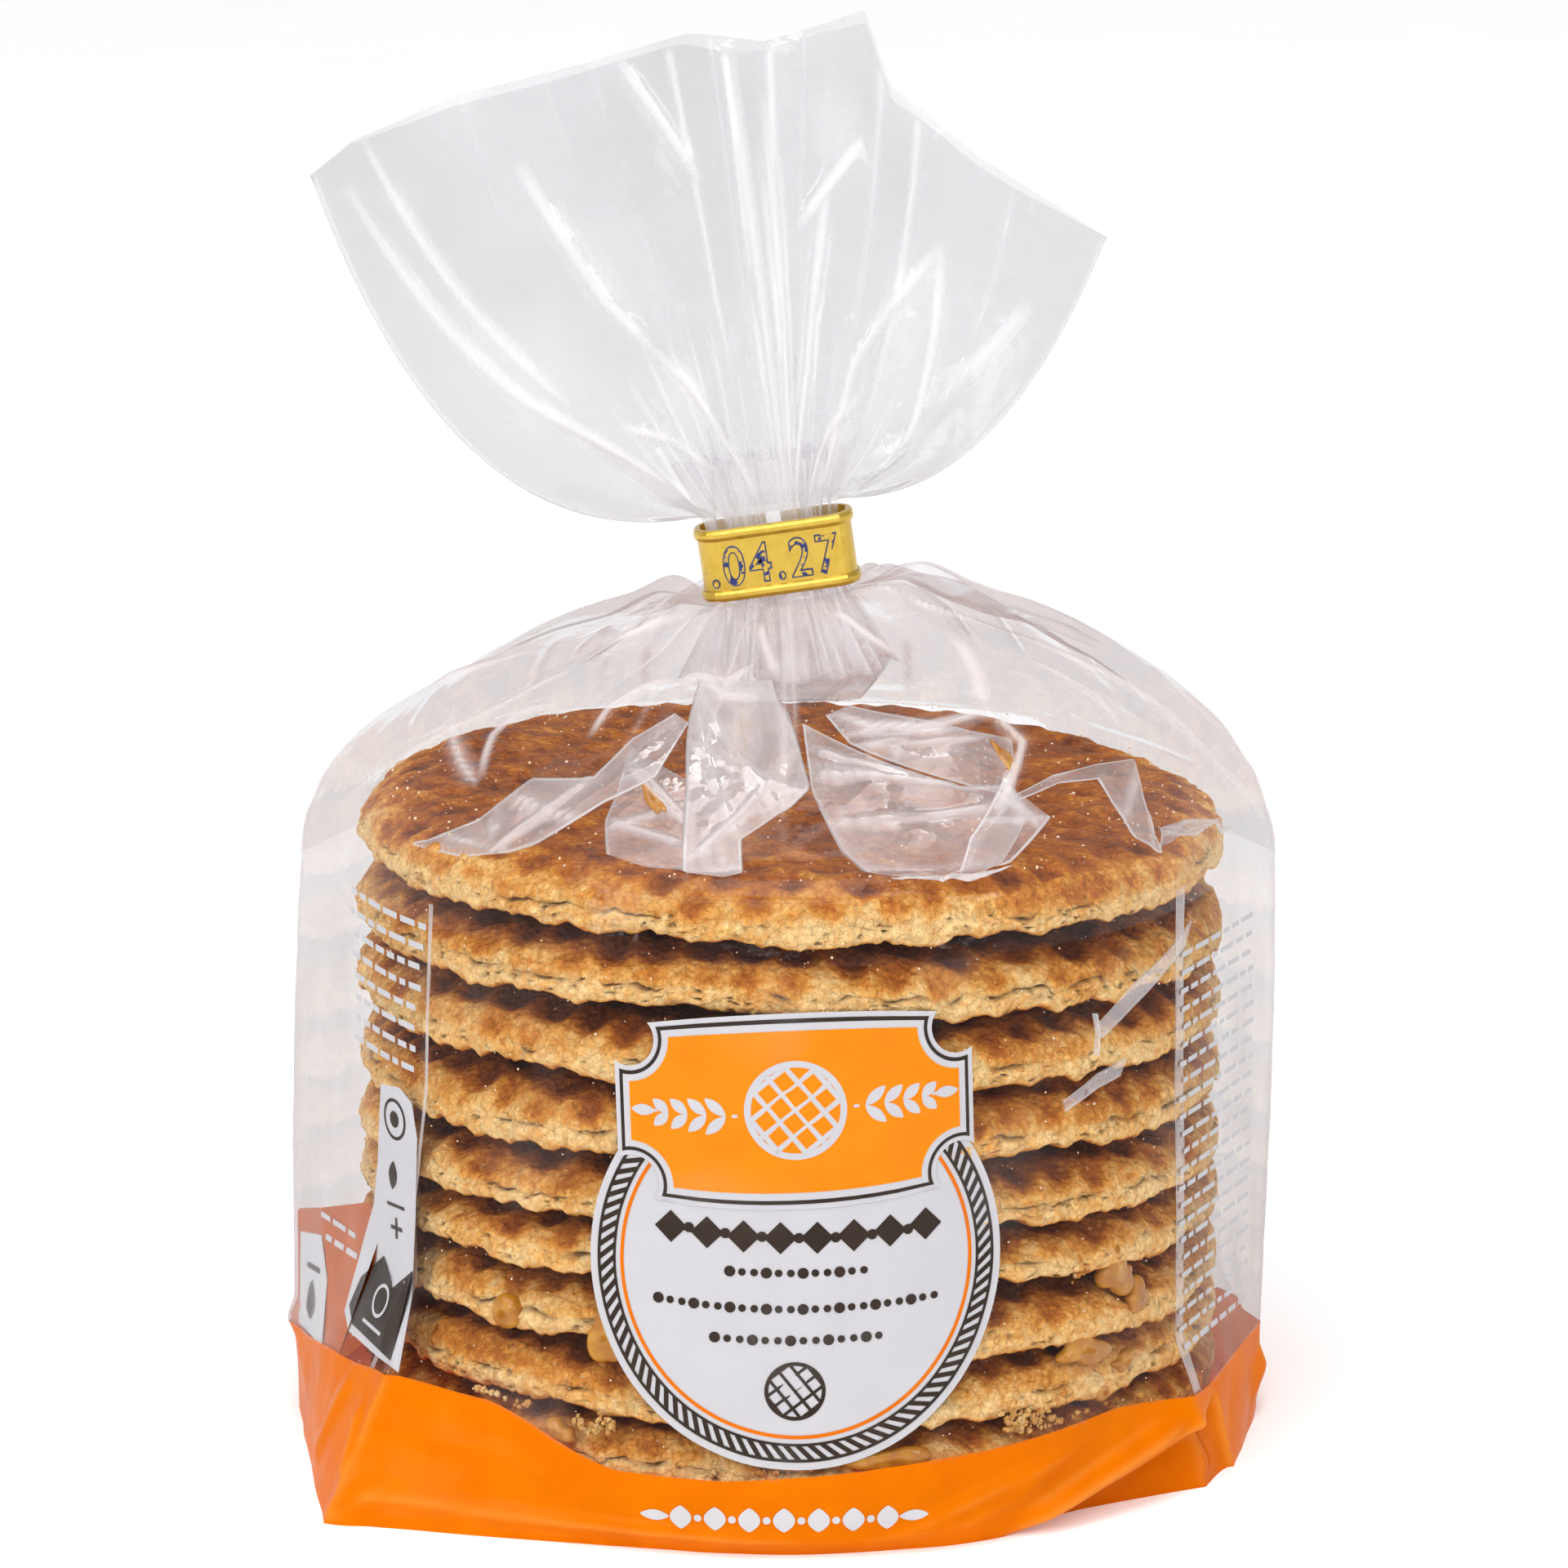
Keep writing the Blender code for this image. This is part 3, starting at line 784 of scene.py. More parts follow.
# %% [markdown]
# ## Film finish
# Bag film is clear, but each layer takes a little light and mirrors a little. A thin sheet has no inside to
# bend light, so glass would be wrong: it is a mix of see-through and mirror, more mirror at a glancing angle.
# A crease scatters light from every side, so it looks white. The mesh knows where it bends most, and passes
# that on as a mask, so the white strokes of crisp film follow the real folds. That white also stands in for
# the glints that creases catch, so it is partly painted highlight, and the milky patches of the fan are
# painted reflection of the soft boxes.

# %% Film material
LIGHT_SHARE = 0.8


def film_material(name, clear, haze, crease, mirror, wrinkle=0.35, milk=0.93):
    """Thin clear film: see-through, with a share of haze, white creases (partly painted highlight) and a thin
    mirror.
    """
    material, tree, shader = new_material(name)
    tree.nodes.remove(shader)
    output = tree.nodes["Material Output"]
    place = place_of(tree)
    through = tree.nodes.new("ShaderNodeBsdfTransparent")
    through.inputs["Color"].default_value = (clear, clear * 0.996, clear * 1.004, 1.0)
    mirror_face = tree.nodes.new("ShaderNodeBsdfGlossy")
    mirror_face.inputs["Roughness"].default_value = 0.08
    front = tree.nodes.new("ShaderNodeBsdfDiffuse")
    front.inputs["Color"].default_value = (milk, milk * 0.990, milk * 1.004, 1.0)
    back = tree.nodes.new("ShaderNodeBsdfTranslucent")
    back.inputs["Color"].default_value = (milk, milk * 0.990, milk * 1.004, 1.0)
    milky = tree.nodes.new("ShaderNodeMixShader")
    milky.inputs["Fac"].default_value = 0.5
    tree.links.new(front.outputs[0], milky.inputs[1])
    tree.links.new(back.outputs[0], milky.inputs[2])
    # Partly painted highlight: the crease mask makes film milky white, for stress whitening and for the
    # glints of creases.
    fold = node(tree, "ShaderNodeAttribute", attribute_name="crease").outputs["Fac"]
    veil_and_sheen = node(tree, "ShaderNodeAttribute", attribute_name="veil_and_sheen").outputs["Fac"]
    cloud_noise = noise_of(tree, place, 0.007, 4.0, 0.6)
    streaks = ramp(tree, cloud_noise, [(0.40, (0.3, 0.3, 0.3)), (0.66, (1.0, 1.0, 1.0))])
    white = maths(tree, "ADD", maths(tree, "MULTIPLY", fold, crease), maths(tree, "MULTIPLY", streaks, haze))
    white = maths(tree, "MINIMUM", maths(tree, "ADD", white, veil_and_sheen), 0.92)
    hazed = tree.nodes.new("ShaderNodeMixShader")
    tree.links.new(white, hazed.inputs["Fac"])
    tree.links.new(through.outputs[0], hazed.inputs[1])
    tree.links.new(milky.outputs[0], hazed.inputs[2])
    normal = bump(tree, noise_of(tree, place, 0.0045, 3.0, 0.5), 0.0009, wrinkle)
    tree.links.new(normal, mirror_face.inputs["Normal"])
    edge = node(tree, "ShaderNodeFresnel", ior=1.45)
    tree.links.new(normal, edge.inputs["Normal"])
    shine = maths(tree, "MINIMUM", maths(tree, "MULTIPLY", edge.outputs[0], mirror), 0.34)
    glossy = tree.nodes.new("ShaderNodeMixShader")
    tree.links.new(shine, glossy.inputs["Fac"])
    tree.links.new(hazed.outputs[0], glossy.inputs[1])
    tree.links.new(mirror_face.outputs[0], glossy.inputs[2])
    rays = tree.nodes.new("ShaderNodeLightPath")
    lit = maths(tree, "MAXIMUM", rays.outputs["Is Shadow Ray"], rays.outputs["Is Diffuse Ray"])
    open_film = tree.nodes.new("ShaderNodeBsdfTransparent")
    letting_light_in = tree.nodes.new("ShaderNodeMixShader")
    tree.links.new(maths(tree, "MULTIPLY", lit, LIGHT_SHARE), letting_light_in.inputs["Fac"])
    tree.links.new(glossy.outputs[0], letting_light_in.inputs[1])
    tree.links.new(open_film.outputs[0], letting_light_in.inputs[2])
    tree.links.new(letting_light_in.outputs[0], output.inputs["Surface"])
    return material


def film_piece(name, points, material, masks):
    """Closed ring of film that stands for part of the bag."""
    piece = mesh_piece(name, points, [grid_faces(*points.shape[:2])], material, masks)
    return wear_bag(piece)


WALL_FILM = film_material("film_on_wafers", clear=0.955, haze=0.006, crease=0.30, mirror=0.24, milk=0.78)
DOME_FILM = film_material("film_over_wafers", clear=0.93, haze=0.015, crease=0.85, mirror=0.42)
FAN_FILM = film_material("film_fan", clear=0.838, haze=0.07, crease=0.85, mirror=0.9)
FOLD_FILM = film_material("film_fold", clear=0.975, haze=0.09, crease=0.80, mirror=0.45)
NECK_FILM = film_material("film_gathered", clear=0.99, haze=0.30, crease=0.40, mirror=1.0)

# %% [markdown]
# ## Wall and printed foot
# The lower part of the bag is one skin. Up to a wavy line it is printed orange on its inside, and above that
# it is clear. So one function gives the radius for both, with the pressed folds of the block bottom in it,
# and the two pieces only differ in the heights that they cover. Under the front right corner the film is
# tucked in, and there the print is doubled and darker: partly the doubled print, partly painted shade of
# the tucked film that faces down.

# %% Wall surface
FOOT_ROUND = 1.9 * MM
FOOT_ROUND_HEIGHT = 5.0 * MM
TUCK_DEPTH = 3.0 * MM
TUCK_ANGLES = (27.0, 68.0)
TUCK_TOP = 9.0 * MM
TUCK_SOFT = 1.6 * MM
TUCK_CLEAR = 0.6 * MM
WALL_CREASES = (
    (((-47.2, 11.0), (-44.7, 4.0)), 0.9, 1.5),
    (((-44.3, 0.0), (-39.6, 5.0)), 1.0, 2.2),
    (((-45.0, 3.4), (-26.0, 2.4), (8.4, 1.6)), 0.55, 1.3),
    (((-47.2, 11.0), (-30.0, 9.0), (-24.0, 6.5)), 0.25, 1.6),
    (((-52.0, 12.0), (-56.5, 1.0)), 0.6, 1.8),
    (((25.3, 0.5), (36.0, 4.2), (48.9, 8.2)), 1.5, 1.9),
    (((11.8, 2.0), (22.0, 5.6), (35.4, 8.6)), 0.45, 1.6),
    (((6.0, 1.4), (20.0, 2.6), (30.0, 6.6)), 0.35, 1.4),
    (((50.0, 8.0), (52.0, 1.0)), 0.7, 2.0),
    (((-42.1, 67.0), (-43.5, 45.0), (-46.4, 30.0), (-49.5, 11.7)), 0.16, 0.6),
    (((50.3, 66.0), (50.3, 45.0), (51.5, 28.0), (51.5, 10.0)), 0.16, 0.6),
    (((52.8, 60.0), (53.6, 12.0)), 0.14, 0.6),
    (((33.5, 57.5), (41.5, 63.0)), 0.45, 1.6),
    (((-38.0, 17.0), (-20.0, 11.0)), 0.25, 0.9),
    (((70.0, 2.0), (96.0, 15.0)), 0.9, 2.2),
    (((118.0, 16.0), (136.0, 1.0)), 0.9, 2.0),
    (((-70.0, 14.0), (-92.0, 1.5)), 0.9, 2.0),
    (((-112.0, 1.5), (-140.0, 13.0)), 0.8, 2.2),
)


def arc_of(heading):
    """Distance round the wall from the middle of the front, in millimetres."""
    turn = (heading + math.pi / 2 + math.pi) % (2.0 * math.pi) - math.pi
    return turn * BODY_RADIUS / MM


def heading_of(arc):
    """Heading of a distance round the wall from the middle of the front, in millimetres."""
    return arc * MM / BODY_RADIUS - math.pi / 2


def tuck(heading, height):
    """Where the film is folded in under the front right corner, from 0 to 1."""
    from_front = np.degrees(heading + math.pi / 2.0)
    along = np.clip((from_front - TUCK_ANGLES[0]) / (TUCK_ANGLES[1] - TUCK_ANGLES[0]), 0.0, 1.0)
    under = ease(0.0, TUCK_SOFT, TUCK_TOP * along - height)
    return under * np.sin(math.pi * along) ** 0.5


def wall_radius(heading, height):
    """Radius of the wall at headings and heights, with its pressed folds."""
    radius = body_radius(heading, height)
    rounded = np.maximum(0.0, 1.0 - height / FOOT_ROUND_HEIGHT) ** 2
    radius = radius - FOOT_ROUND * rounded * np.sin(heading) ** 4
    least = np.minimum(radius, wafer_room(height) + TUCK_CLEAR)
    radius = np.maximum(radius - TUCK_DEPTH * tuck(heading, height), least)
    across = arc_of(heading)
    for route, rise, half_width in WALL_CREASES:
        radius = radius + rise * MM * lay_crease(across, height / MM, route, half_width)
    on_tube = (np.cos(heading) * 48.0, np.sin(heading) * 48.0, height / MM * 1.3)
    place = np.stack(np.broadcast_arrays(*on_tube), axis=-1)
    low = 1.0 - ease(6.0 * MM, 26.0 * MM, height)
    loose = blend(0.16, 0.65, low) * (0.5 + 0.5 * facet_noise(place, 11.0, 71))
    loose = loose + blend(0.03, 0.14, low) * facet_noise(place[..., [1, 2, 0]], 4.3, 72)
    return radius + loose * MM


def on_wall(heading, height, depth=0.0):
    """Points on the wall, or a depth inside it."""
    radius = wall_radius(heading, height) - depth
    return np.stack(np.broadcast_arrays(radius * np.cos(heading), radius * np.sin(heading), height), axis=-1)


# %% Clear wall and orange foot
BAND_EDGE = ((-180.0, 9.0), (-105.0, 9.5), (-86.0, 10.2), (-68.0, 12.8), (-51.0, 15.0), (-39.0, 14.2),
             (-21.0, 8.8), (-8.0, 8.6), (24.0, 10.4), (46.0, 11.4), (66.0, 9.6), (90.0, 10.0), (120.0, 9.0),
             (180.0, 9.0))


def band_edge(heading):
    """Height of the top of the orange print."""
    turn = np.degrees(arc_of(heading) * MM / BODY_RADIUS)
    edge = np.zeros(np.shape(turn))
    for (start, low), (end, high) in zip(BAND_EDGE, BAND_EDGE[1:]):
        inside = (turn >= start) & (turn <= end)
        along = np.clip((turn - start) / (end - start), 0.0, 1.0)
        edge = np.where(inside, blend(low, high, 0.5 * (along + ease(0.0, 1.0, along))), edge)
    return edge * MM


# Painted highlight: pale orange laid along the foot's creases.
FOLD_HIGHLIGHT_SHARE = 0.55
FOLD_HIGHLIGHT = (1.0, 0.42, 0.080)
# Darker orange of the tuck: doubled print and painted shade.
DOUBLE_PRINT_AND_SHADE = (0.58, 0.105, 0.000)


def print_material(name, colour, shade, roughness=0.22, glow=0.0):
    """Ink on the inside of film: even colour, a faint unevenness and gloss; glow lets light through. On the
    foot, creases are paled as painted highlights and the tuck is darkened, as doubled print and painted
    shade.
    """
    material, tree, shader = new_material(name)
    place = place_of(tree)
    cloud = ramp(tree, noise_of(tree, place, 0.006, 3.0), [(0.35, (0.0, 0.0, 0.0)), (0.7, (1.0, 1.0, 1.0))])
    colours = mix_colour(tree, cloud, colour, shade)
    if glow > 0.0:
        fold = node(tree, "ShaderNodeAttribute", attribute_name="crease").outputs["Fac"]
        # Painted highlight on the creases.
        colours = mix_colour(tree, maths(tree, "MULTIPLY", fold, FOLD_HIGHLIGHT_SHARE), colours, FOLD_HIGHLIGHT)
        doubled_and_shaded = node(tree, "ShaderNodeAttribute", attribute_name="doubled_and_shaded").outputs["Fac"]
        colours = mix_colour(tree, doubled_and_shaded, colours, DOUBLE_PRINT_AND_SHADE)
    tree.links.new(colours, shader.inputs["Base Color"])
    shader.inputs["Roughness"].default_value = roughness
    shader.inputs["Specular IOR Level"].default_value = 0.03
    normal = bump(tree, noise_of(tree, place, 0.003, 3.0, 0.5), 0.0004, 0.35)
    tree.links.new(normal, shader.inputs["Normal"])
    if glow > 0.0:
        behind = tree.nodes.new("ShaderNodeBsdfTranslucent")
        tree.links.new(colours, behind.inputs["Color"])
        both = tree.nodes.new("ShaderNodeMixShader")
        both.inputs["Fac"].default_value = glow
        tree.links.new(shader.outputs[0], both.inputs[1])
        tree.links.new(behind.outputs[0], both.inputs[2])
        tree.links.new(both.outputs[0], tree.nodes["Material Output"].inputs["Surface"])
    return material


ORANGE = print_material("print_orange", (0.90, 0.214, 0.000), (0.82, 0.182, 0.000), glow=0.32)
# Painted shade: a darker copy of the orange print, for the left side panel.
SHADED_ORANGE = print_material("print_deep_orange", (0.46, 0.095, 0.002), (0.38, 0.074, 0.002))
PALE_ORANGE = print_material("print_pale_orange", (0.88, 0.225, 0.001), (0.84, 0.205, 0.001))
WHITE = print_material("print_white", (0.520, 0.514, 0.530), (0.500, 0.494, 0.510))
DARK = print_material("print_dark", (0.028, 0.018, 0.013), (0.040, 0.026, 0.018))
WALL_COLUMNS = 512


def build_wall():
    """The clear wall from the print up to the dome, hazier at the side folds where layers meet."""
    heading, amount = film_grid(72, WALL_COLUMNS)
    height = blend(band_edge(heading) - 0.3 * MM, BODY_TOP, amount)
    points = soften(on_wall(heading, height), 1)
    across = np.abs(np.abs(arc_of(heading)) - 90.0 * BODY_RADIUS / MM * math.pi / 180.0)
    streak = value_noise(points * np.array([1.0, 1.0, 0.25]), 3.0 * MM, 81)
    veil_and_sheen = 0.30 * (1.0 - ease(9.0, 26.0, across)) * (0.8 + 0.35 * streak)
    veil_and_sheen = veil_and_sheen * blend(1.0, 0.47, ease(0.70, 1.0, amount))
    patch = ease(0.15, 0.6, facet_noise(points, 8.0 * MM, 82)) * (0.6 + 0.4 * streak)
    film_piece("film_wall", points, WALL_FILM, {"crease": crease_mask(points), "veil_and_sheen": veil_and_sheen + 0.07 * patch})


def build_foot():
    """The orange print of the foot, and the folded bottom under the wafers."""
    heading, amount = film_grid(34, 720)
    height = blend(0.0, band_edge(heading), amount)
    points = soften(on_wall(heading, height), 1)
    # Doubled print and painted shade where the film is tucked in.
    doubled_and_shaded = 0.50 * tuck(heading, height)
    film_piece("foot_print", points, ORANGE, {"crease": crease_mask(points), "doubled_and_shaded": doubled_and_shaded})
    outer = points[0]
    shares = np.linspace(1.0, 0.0, 10)[:-1, None, None]
    fold = 0.25 * MM * (np.abs(outer[:, 0]) < np.abs(outer[:, 1]))
    floor_grid = outer[None] * shares
    floor_grid[..., 2] = 0.05 * MM + fold * (1.0 - shares[..., 0]) * np.minimum(1.0, 6.0 * shares[..., 0])
    rows, columns = floor_grid.shape[:2]
    floor_points = np.concatenate([floor_grid.reshape(-1, 3), [[0.0, 0.0, 0.1 * MM]]])
    last_ring = np.arange((rows - 1) * columns, rows * columns)
    faces = [grid_faces(rows, columns), fan_faces(rows * columns, last_ring)]
    wear_bag(mesh_piece("foot_bottom", floor_points, faces, ORANGE))


build_wall()
build_foot()

# %% [markdown]
# ## Dome, gather and fan
# Over the top wafer the film is drawn to the clip. Pleats start at uneven distances from the rim and grow
# towards the neck. Inside the bag the spare film of the side folds hangs as flat flaps over the top wafer,
# two layers thick, with bright crisp edges. Above the clip the film springs open again as a flattened tube:
# a front and a back sheet with a few long folds, broad flat panels and small crumples between them.

# %% Dome
DOME_CREASES = (
    (((-76, 0.49), (-58, 0.39), (-52, 0.36)), 0.5, 0.9),
    (((-52, 0.38), (-56, 0.47), (-55, 0.53), (-48, 0.57)), 0.4, 1.2),
    (((-88, 0.51), (-87, 0.59), (-84, 0.70)), 0.4, 1.8),
    (((-36, 0.52), (-36, 0.58), (-32, 0.63), (-26, 0.66)), 0.4, 1.0),
    (((-88, 0.51), (-90, 0.67)), 0.5, 1.6),
    (((-64, 0.58), (-56, 0.72), (-44, 0.86)), 0.5, 1.4),
    (((-74, 0.30), (-66, 0.48), (-58, 0.66)), 0.4, 1.2),
    (((-22, 0.68), (-6, 0.64)), 0.5, 1.2),
    (((-24, 0.66), (-8, 0.72)), 0.5, 1.2),
    (((38, 0.92), (62, 0.80), (76, 0.66), (80, 0.31), (88, 0.09)), 0.6, 0.9),
    (((40, 0.54), (42, 0.46), (32, 0.34)), 0.5, 0.9),
    (((48, 0.71), (44, 0.62), (40, 0.56)), 0.6, 2.2),
    (((10, 0.60), (26, 0.54), (40, 0.53)), 0.5, 1.1),
    (((60, 0.62), (66, 0.50), (64, 0.42)), 0.5, 1.0),
    (((20, 0.84), (30, 0.72)), 0.5, 1.6),
    (((-8, 0.82), (-2, 0.70)), 0.5, 1.6),
)
BACK_CREASES = 22
DEGREE_REACH = 0.55
AMOUNT_REACH = 55.0


def dome_folds(heading, amount):
    """How far the dome's film stands out from its smooth path, in metres."""
    ring = np.stack([17.0 * np.cos(heading), 17.0 * np.sin(heading), 30.0 * amount], axis=-1)
    start = 0.30 + 0.22 * value_noise(ring * np.array([1.0, 1.0, 0.0]), 6.0, 51)
    grown = ease(start, start + 0.40, amount) * (1.0 - ease(0.86, 1.0, amount))
    folds = 1.9 * grown * uneven_pleats(heading, 9, 52)
    folds += 0.7 * ease(0.50, 0.8, amount) * (1.0 - ease(0.9, 1.0, amount)) * uneven_pleats(heading, 17, 53)
    calm = 1.0 - 0.75 * np.abs(np.cos(heading)) ** 3
    rise = ease(0.0, 0.2, amount) * (1.0 - ease(0.85, 1.0, amount))
    folds += 1.5 * rise * calm * facet_noise(ring, 7.0, 54)
    crumple = ease(-0.1, 0.6, value_noise(ring, 8.0, 55))
    folds += 0.55 * rise * crumple * facet_noise(ring[..., [1, 2, 0]], 3.1, 56)
    across = np.degrees(arc_of(heading) * MM / BODY_RADIUS) * DEGREE_REACH
    for route, height, half_width in DOME_CREASES + back_creases():
        route = [(turn * DEGREE_REACH, place * AMOUNT_REACH) for turn, place in route]
        folds += height * lay_crease(across, amount * AMOUNT_REACH, route, half_width)
    return folds * MM


# Painted highlights: white strokes laid along the listed dome creases.
def dome_glint_strokes(heading, amount):
    """White lines along the creases listed in DOME_CREASES, from 0 to 1."""
    across = np.degrees(arc_of(heading) * MM / BODY_RADIUS) * DEGREE_REACH
    white = np.zeros(across.shape)
    for route, _, half_width in DOME_CREASES:
        route = [(turn * DEGREE_REACH, place * AMOUNT_REACH) for turn, place in route]
        white = np.maximum(white, lay_crease(across, amount * AMOUNT_REACH, route, 0.5 * half_width))
    return white ** 0.5


def back_creases():
    """Creases at chance places round the sides and the back of the dome."""
    rng = np.random.default_rng(57)
    made = []
    for _ in range(BACK_CREASES):
        turn = rng.uniform(95.0, 265.0)
        turn = turn - 360.0 if turn > 176.0 else turn
        low = rng.uniform(0.1, 0.6)
        route = ((turn, low), (turn + rng.uniform(-4.0, 4.0), low + rng.uniform(0.12, 0.3)))
        made.append((route, rng.uniform(0.3, 0.6), rng.uniform(0.8, 1.8)))
    return tuple(made)


def build_dome():
    """The film from the top of the wall to the clip."""
    heading, amount = film_grid(108, 576)
    smooth = dome_point(heading, amount)
    points = smooth + dome_folds(heading, amount)[..., None] * grid_normals(smooth)
    at_wall = on_wall(heading, np.full(heading.shape, BODY_TOP)) - dome_point(heading, 0.0 * amount)
    points = points + at_wall * (1.0 - ease(0.0, 0.16, amount))[..., None]
    radius = np.hypot(points[..., 0] - STACK_MIDDLE, points[..., 1])
    gap = points[..., 2] - rest_height(radius)
    points[..., 2] += 0.5 * (np.sqrt(gap * gap + REST_SOFT ** 2) - gap) * ease(0.0, 0.05, amount)
    points = soften(points, 1)
    side = np.abs(np.cos(heading)) ** 6 * (1.0 - ease(0.1, 0.45, amount))
    gathered = ease(0.62, 0.95, amount)
    veil_and_sheen = 0.14 * side + 0.20 * gathered
    clear_rim = 1.0 - (1.0 - ease(0.16, 0.30, amount)) * ease(0.25, 0.6, np.abs(np.sin(heading)))
    bent = crease_mask(points) * clear_rim * blend(1.0, 0.45, gathered)
    # White at bends and along the listed creases: partly crease whitening, partly painted highlight.
    crease = np.maximum(bent, dome_glint_strokes(heading, amount))
    film_piece("film_dome", points, DOME_FILM, {"crease": crease, "veil_and_sheen": veil_and_sheen})


def rest_height(radius):
    """Height at which film rests on the top wafer: level inside, falling away past its rim."""
    top = (WAFERS[0][0] + WAFERS[0][3] + 0.4) * MM
    rounded = 2.0 * MM * ease(WAFER_RADIUS - 4.0 * MM, WAFER_RADIUS, radius) ** 2
    return top - rounded - 9.5 * MM * ease(WAFER_RADIUS, BODY_RADIUS, radius)


REST_SOFT = 1.9 * MM
build_dome()


# %% Gather in the clip
GATHER_PLEATS = 12
GATHER_BELOW = 9.0 * MM
GATHER_ABOVE = 7.0 * MM


def build_gather(name, scale, seed):
    """Dense pleats that pass through the clip and spread at both ends."""
    heading, amount = film_grid(40, 320)
    along = blend(-CLIP_HEIGHT / 2 - GATHER_BELOW, CLIP_HEIGHT / 2 + GATHER_ABOVE, amount)
    x, y, z = neck_point(heading, along)
    below = np.clip((-CLIP_HEIGHT / 2 - along) / GATHER_BELOW, 0.0, 1.0)
    above = np.clip((along - CLIP_HEIGHT / 2) / GATHER_ABOVE, 0.0, 1.0)
    open_x = 1.0 + 0.45 * below + 0.15 * above
    open_y = 1.0 + 2.6 * below + 0.8 * above
    pleat_depth = 0.10 + 0.26 * np.maximum(below, above)
    pleat = 1.0 + pleat_depth * uneven_pleats(heading, GATHER_PLEATS + seed, seed)
    middle = CLIP_CENTRE[0] - along * math.sin(CLIP_LEAN)
    x = middle + (x - middle) * open_x * pleat * scale
    y = y * open_y * pleat * scale
    points = np.stack([x, y, z], axis=-1)
    film_piece(name, points, NECK_FILM, {"crease": crease_mask(points), "veil_and_sheen": 0.0 * amount})


build_gather("gather_outer", 0.90, 3)
build_gather("gather_inner", 0.62, 6)

# %% Fan
FRONT_FOLDS = ((-1.0, 0.0), (-0.74, 4.2), (-0.40, 6.4), (-0.10, 3.4), (0.04, 8.2), (0.15, 3.2), (0.30, 5.2),
               (0.43, 9.2), (0.52, 4.2), (0.76, 5.4), (1.0, 0.0))
BACK_FOLDS = ((-1.0, 0.0), (-0.62, 5.0), (-0.30, 2.8), (0.0, 6.6), (0.24, 3.6), (0.55, 7.4), (0.80, 3.8),
              (1.0, 0.0))
FAN_CREASES = (
    (((-0.93, 0.95), (-0.80, 0.50), (-0.62, 0.12)), 0.7, 0.8),
    (((-0.86, 1.0), (-0.70, 0.42)), 0.5, 0.7),
    (((-0.52, 0.86), (-0.44, 0.55), (-0.36, 0.42)), 0.8, 1.3),
    (((-0.36, 0.42), (-0.18, 0.18), (-0.05, 0.03)), 0.7, 1.0),
    (((-0.60, 0.30), (-0.30, 0.12)), 0.5, 1.0),
    (((-0.22, 1.0), (-0.08, 0.72)), 0.6, 1.0),
    (((0.05, 1.0), (0.07, 0.5), (0.08, 0.02)), 1.2, 1.4),
    (((0.13, 0.9), (0.14, 0.4), (0.12, 0.03)), 0.7, 1.0),
    (((0.30, 0.7), (0.24, 0.3), (0.16, 0.03)), 0.7, 1.3),
    (((0.22, 0.62), (0.40, 0.78)), 0.6, 1.4),
    (((0.62, 0.78), (0.44, 0.38), (0.40, 0.05)), 0.7, 1.0),
    (((0.62, 0.78), (0.70, 0.45), (0.76, 0.30)), 0.6, 1.2),
    (((0.88, 0.80), (0.80, 0.55)), 0.8, 2.0),
    (((0.50, 0.34), (0.32, 0.10), (0.28, 0.02)), 0.7, 0.9),
)
ACROSS_REACH = 40.0
UP_REACH = 52.0


def fan_glint_strokes(across, amount, front):
    """White lines along the fan's creases, from 0 to 1: painted highlights."""
    white = np.zeros(across.shape)
    for route, _, half_width in FAN_CREASES:
        route = [(turn * ACROSS_REACH, place_up * UP_REACH) for turn, place_up in route]
        stroke_line = lay_crease(across * ACROSS_REACH, amount * UP_REACH, route, 0.6 * half_width)
        white = np.maximum(white, stroke_line)
    return np.where(front, white, 0.0) ** 0.5


def fan_depth(across, amount, front):
    """How far a sheet of the fan stands out from its middle plane, in metres."""
    folds = FRONT_FOLDS if front else BACK_FOLDS
    knots, depths = zip(*folds)
    bent = across + 0.05 * (1.0 - amount) * np.sin(7.0 * across)
    depth = np.interp(bent, knots, depths) * amount ** 0.75
    inside = np.minimum(1.0, 6.0 * (1.0 - np.abs(across)))
    place = np.stack([across * 15.0 + amount * 3.0, amount * 13.0, 0.0 * across + 9.0 * front], axis=-1)
    wide = ease(0.0, 0.35, amount) * inside
    depth = depth + 1.5 * wide * facet_noise(place, 6.2, 61)
    crumple = ease(-0.2, 0.5, value_noise(place, 7.0, 62))
    depth = depth + 0.6 * crumple * wide * facet_noise(place[..., [1, 0, 2]], 2.6, 63)
    near_neck = ease(0.0, 0.06, amount) * (1.0 - ease(0.12, 0.6, amount))
    pleats = 2.0 * np.abs((across * 4.5 + 0.35 * np.sin(5.0 * across + front)) % 1.0 - 0.5)
    depth = depth + 1.5 * near_neck * inside * pleats
    if front:
        for route, rise, half_width in FAN_CREASES:
            route = [(turn * ACROSS_REACH, place_up * UP_REACH) for turn, place_up in route]
            depth = depth + rise * lay_crease(across * ACROSS_REACH, amount * UP_REACH, route, half_width)
    return depth * MM


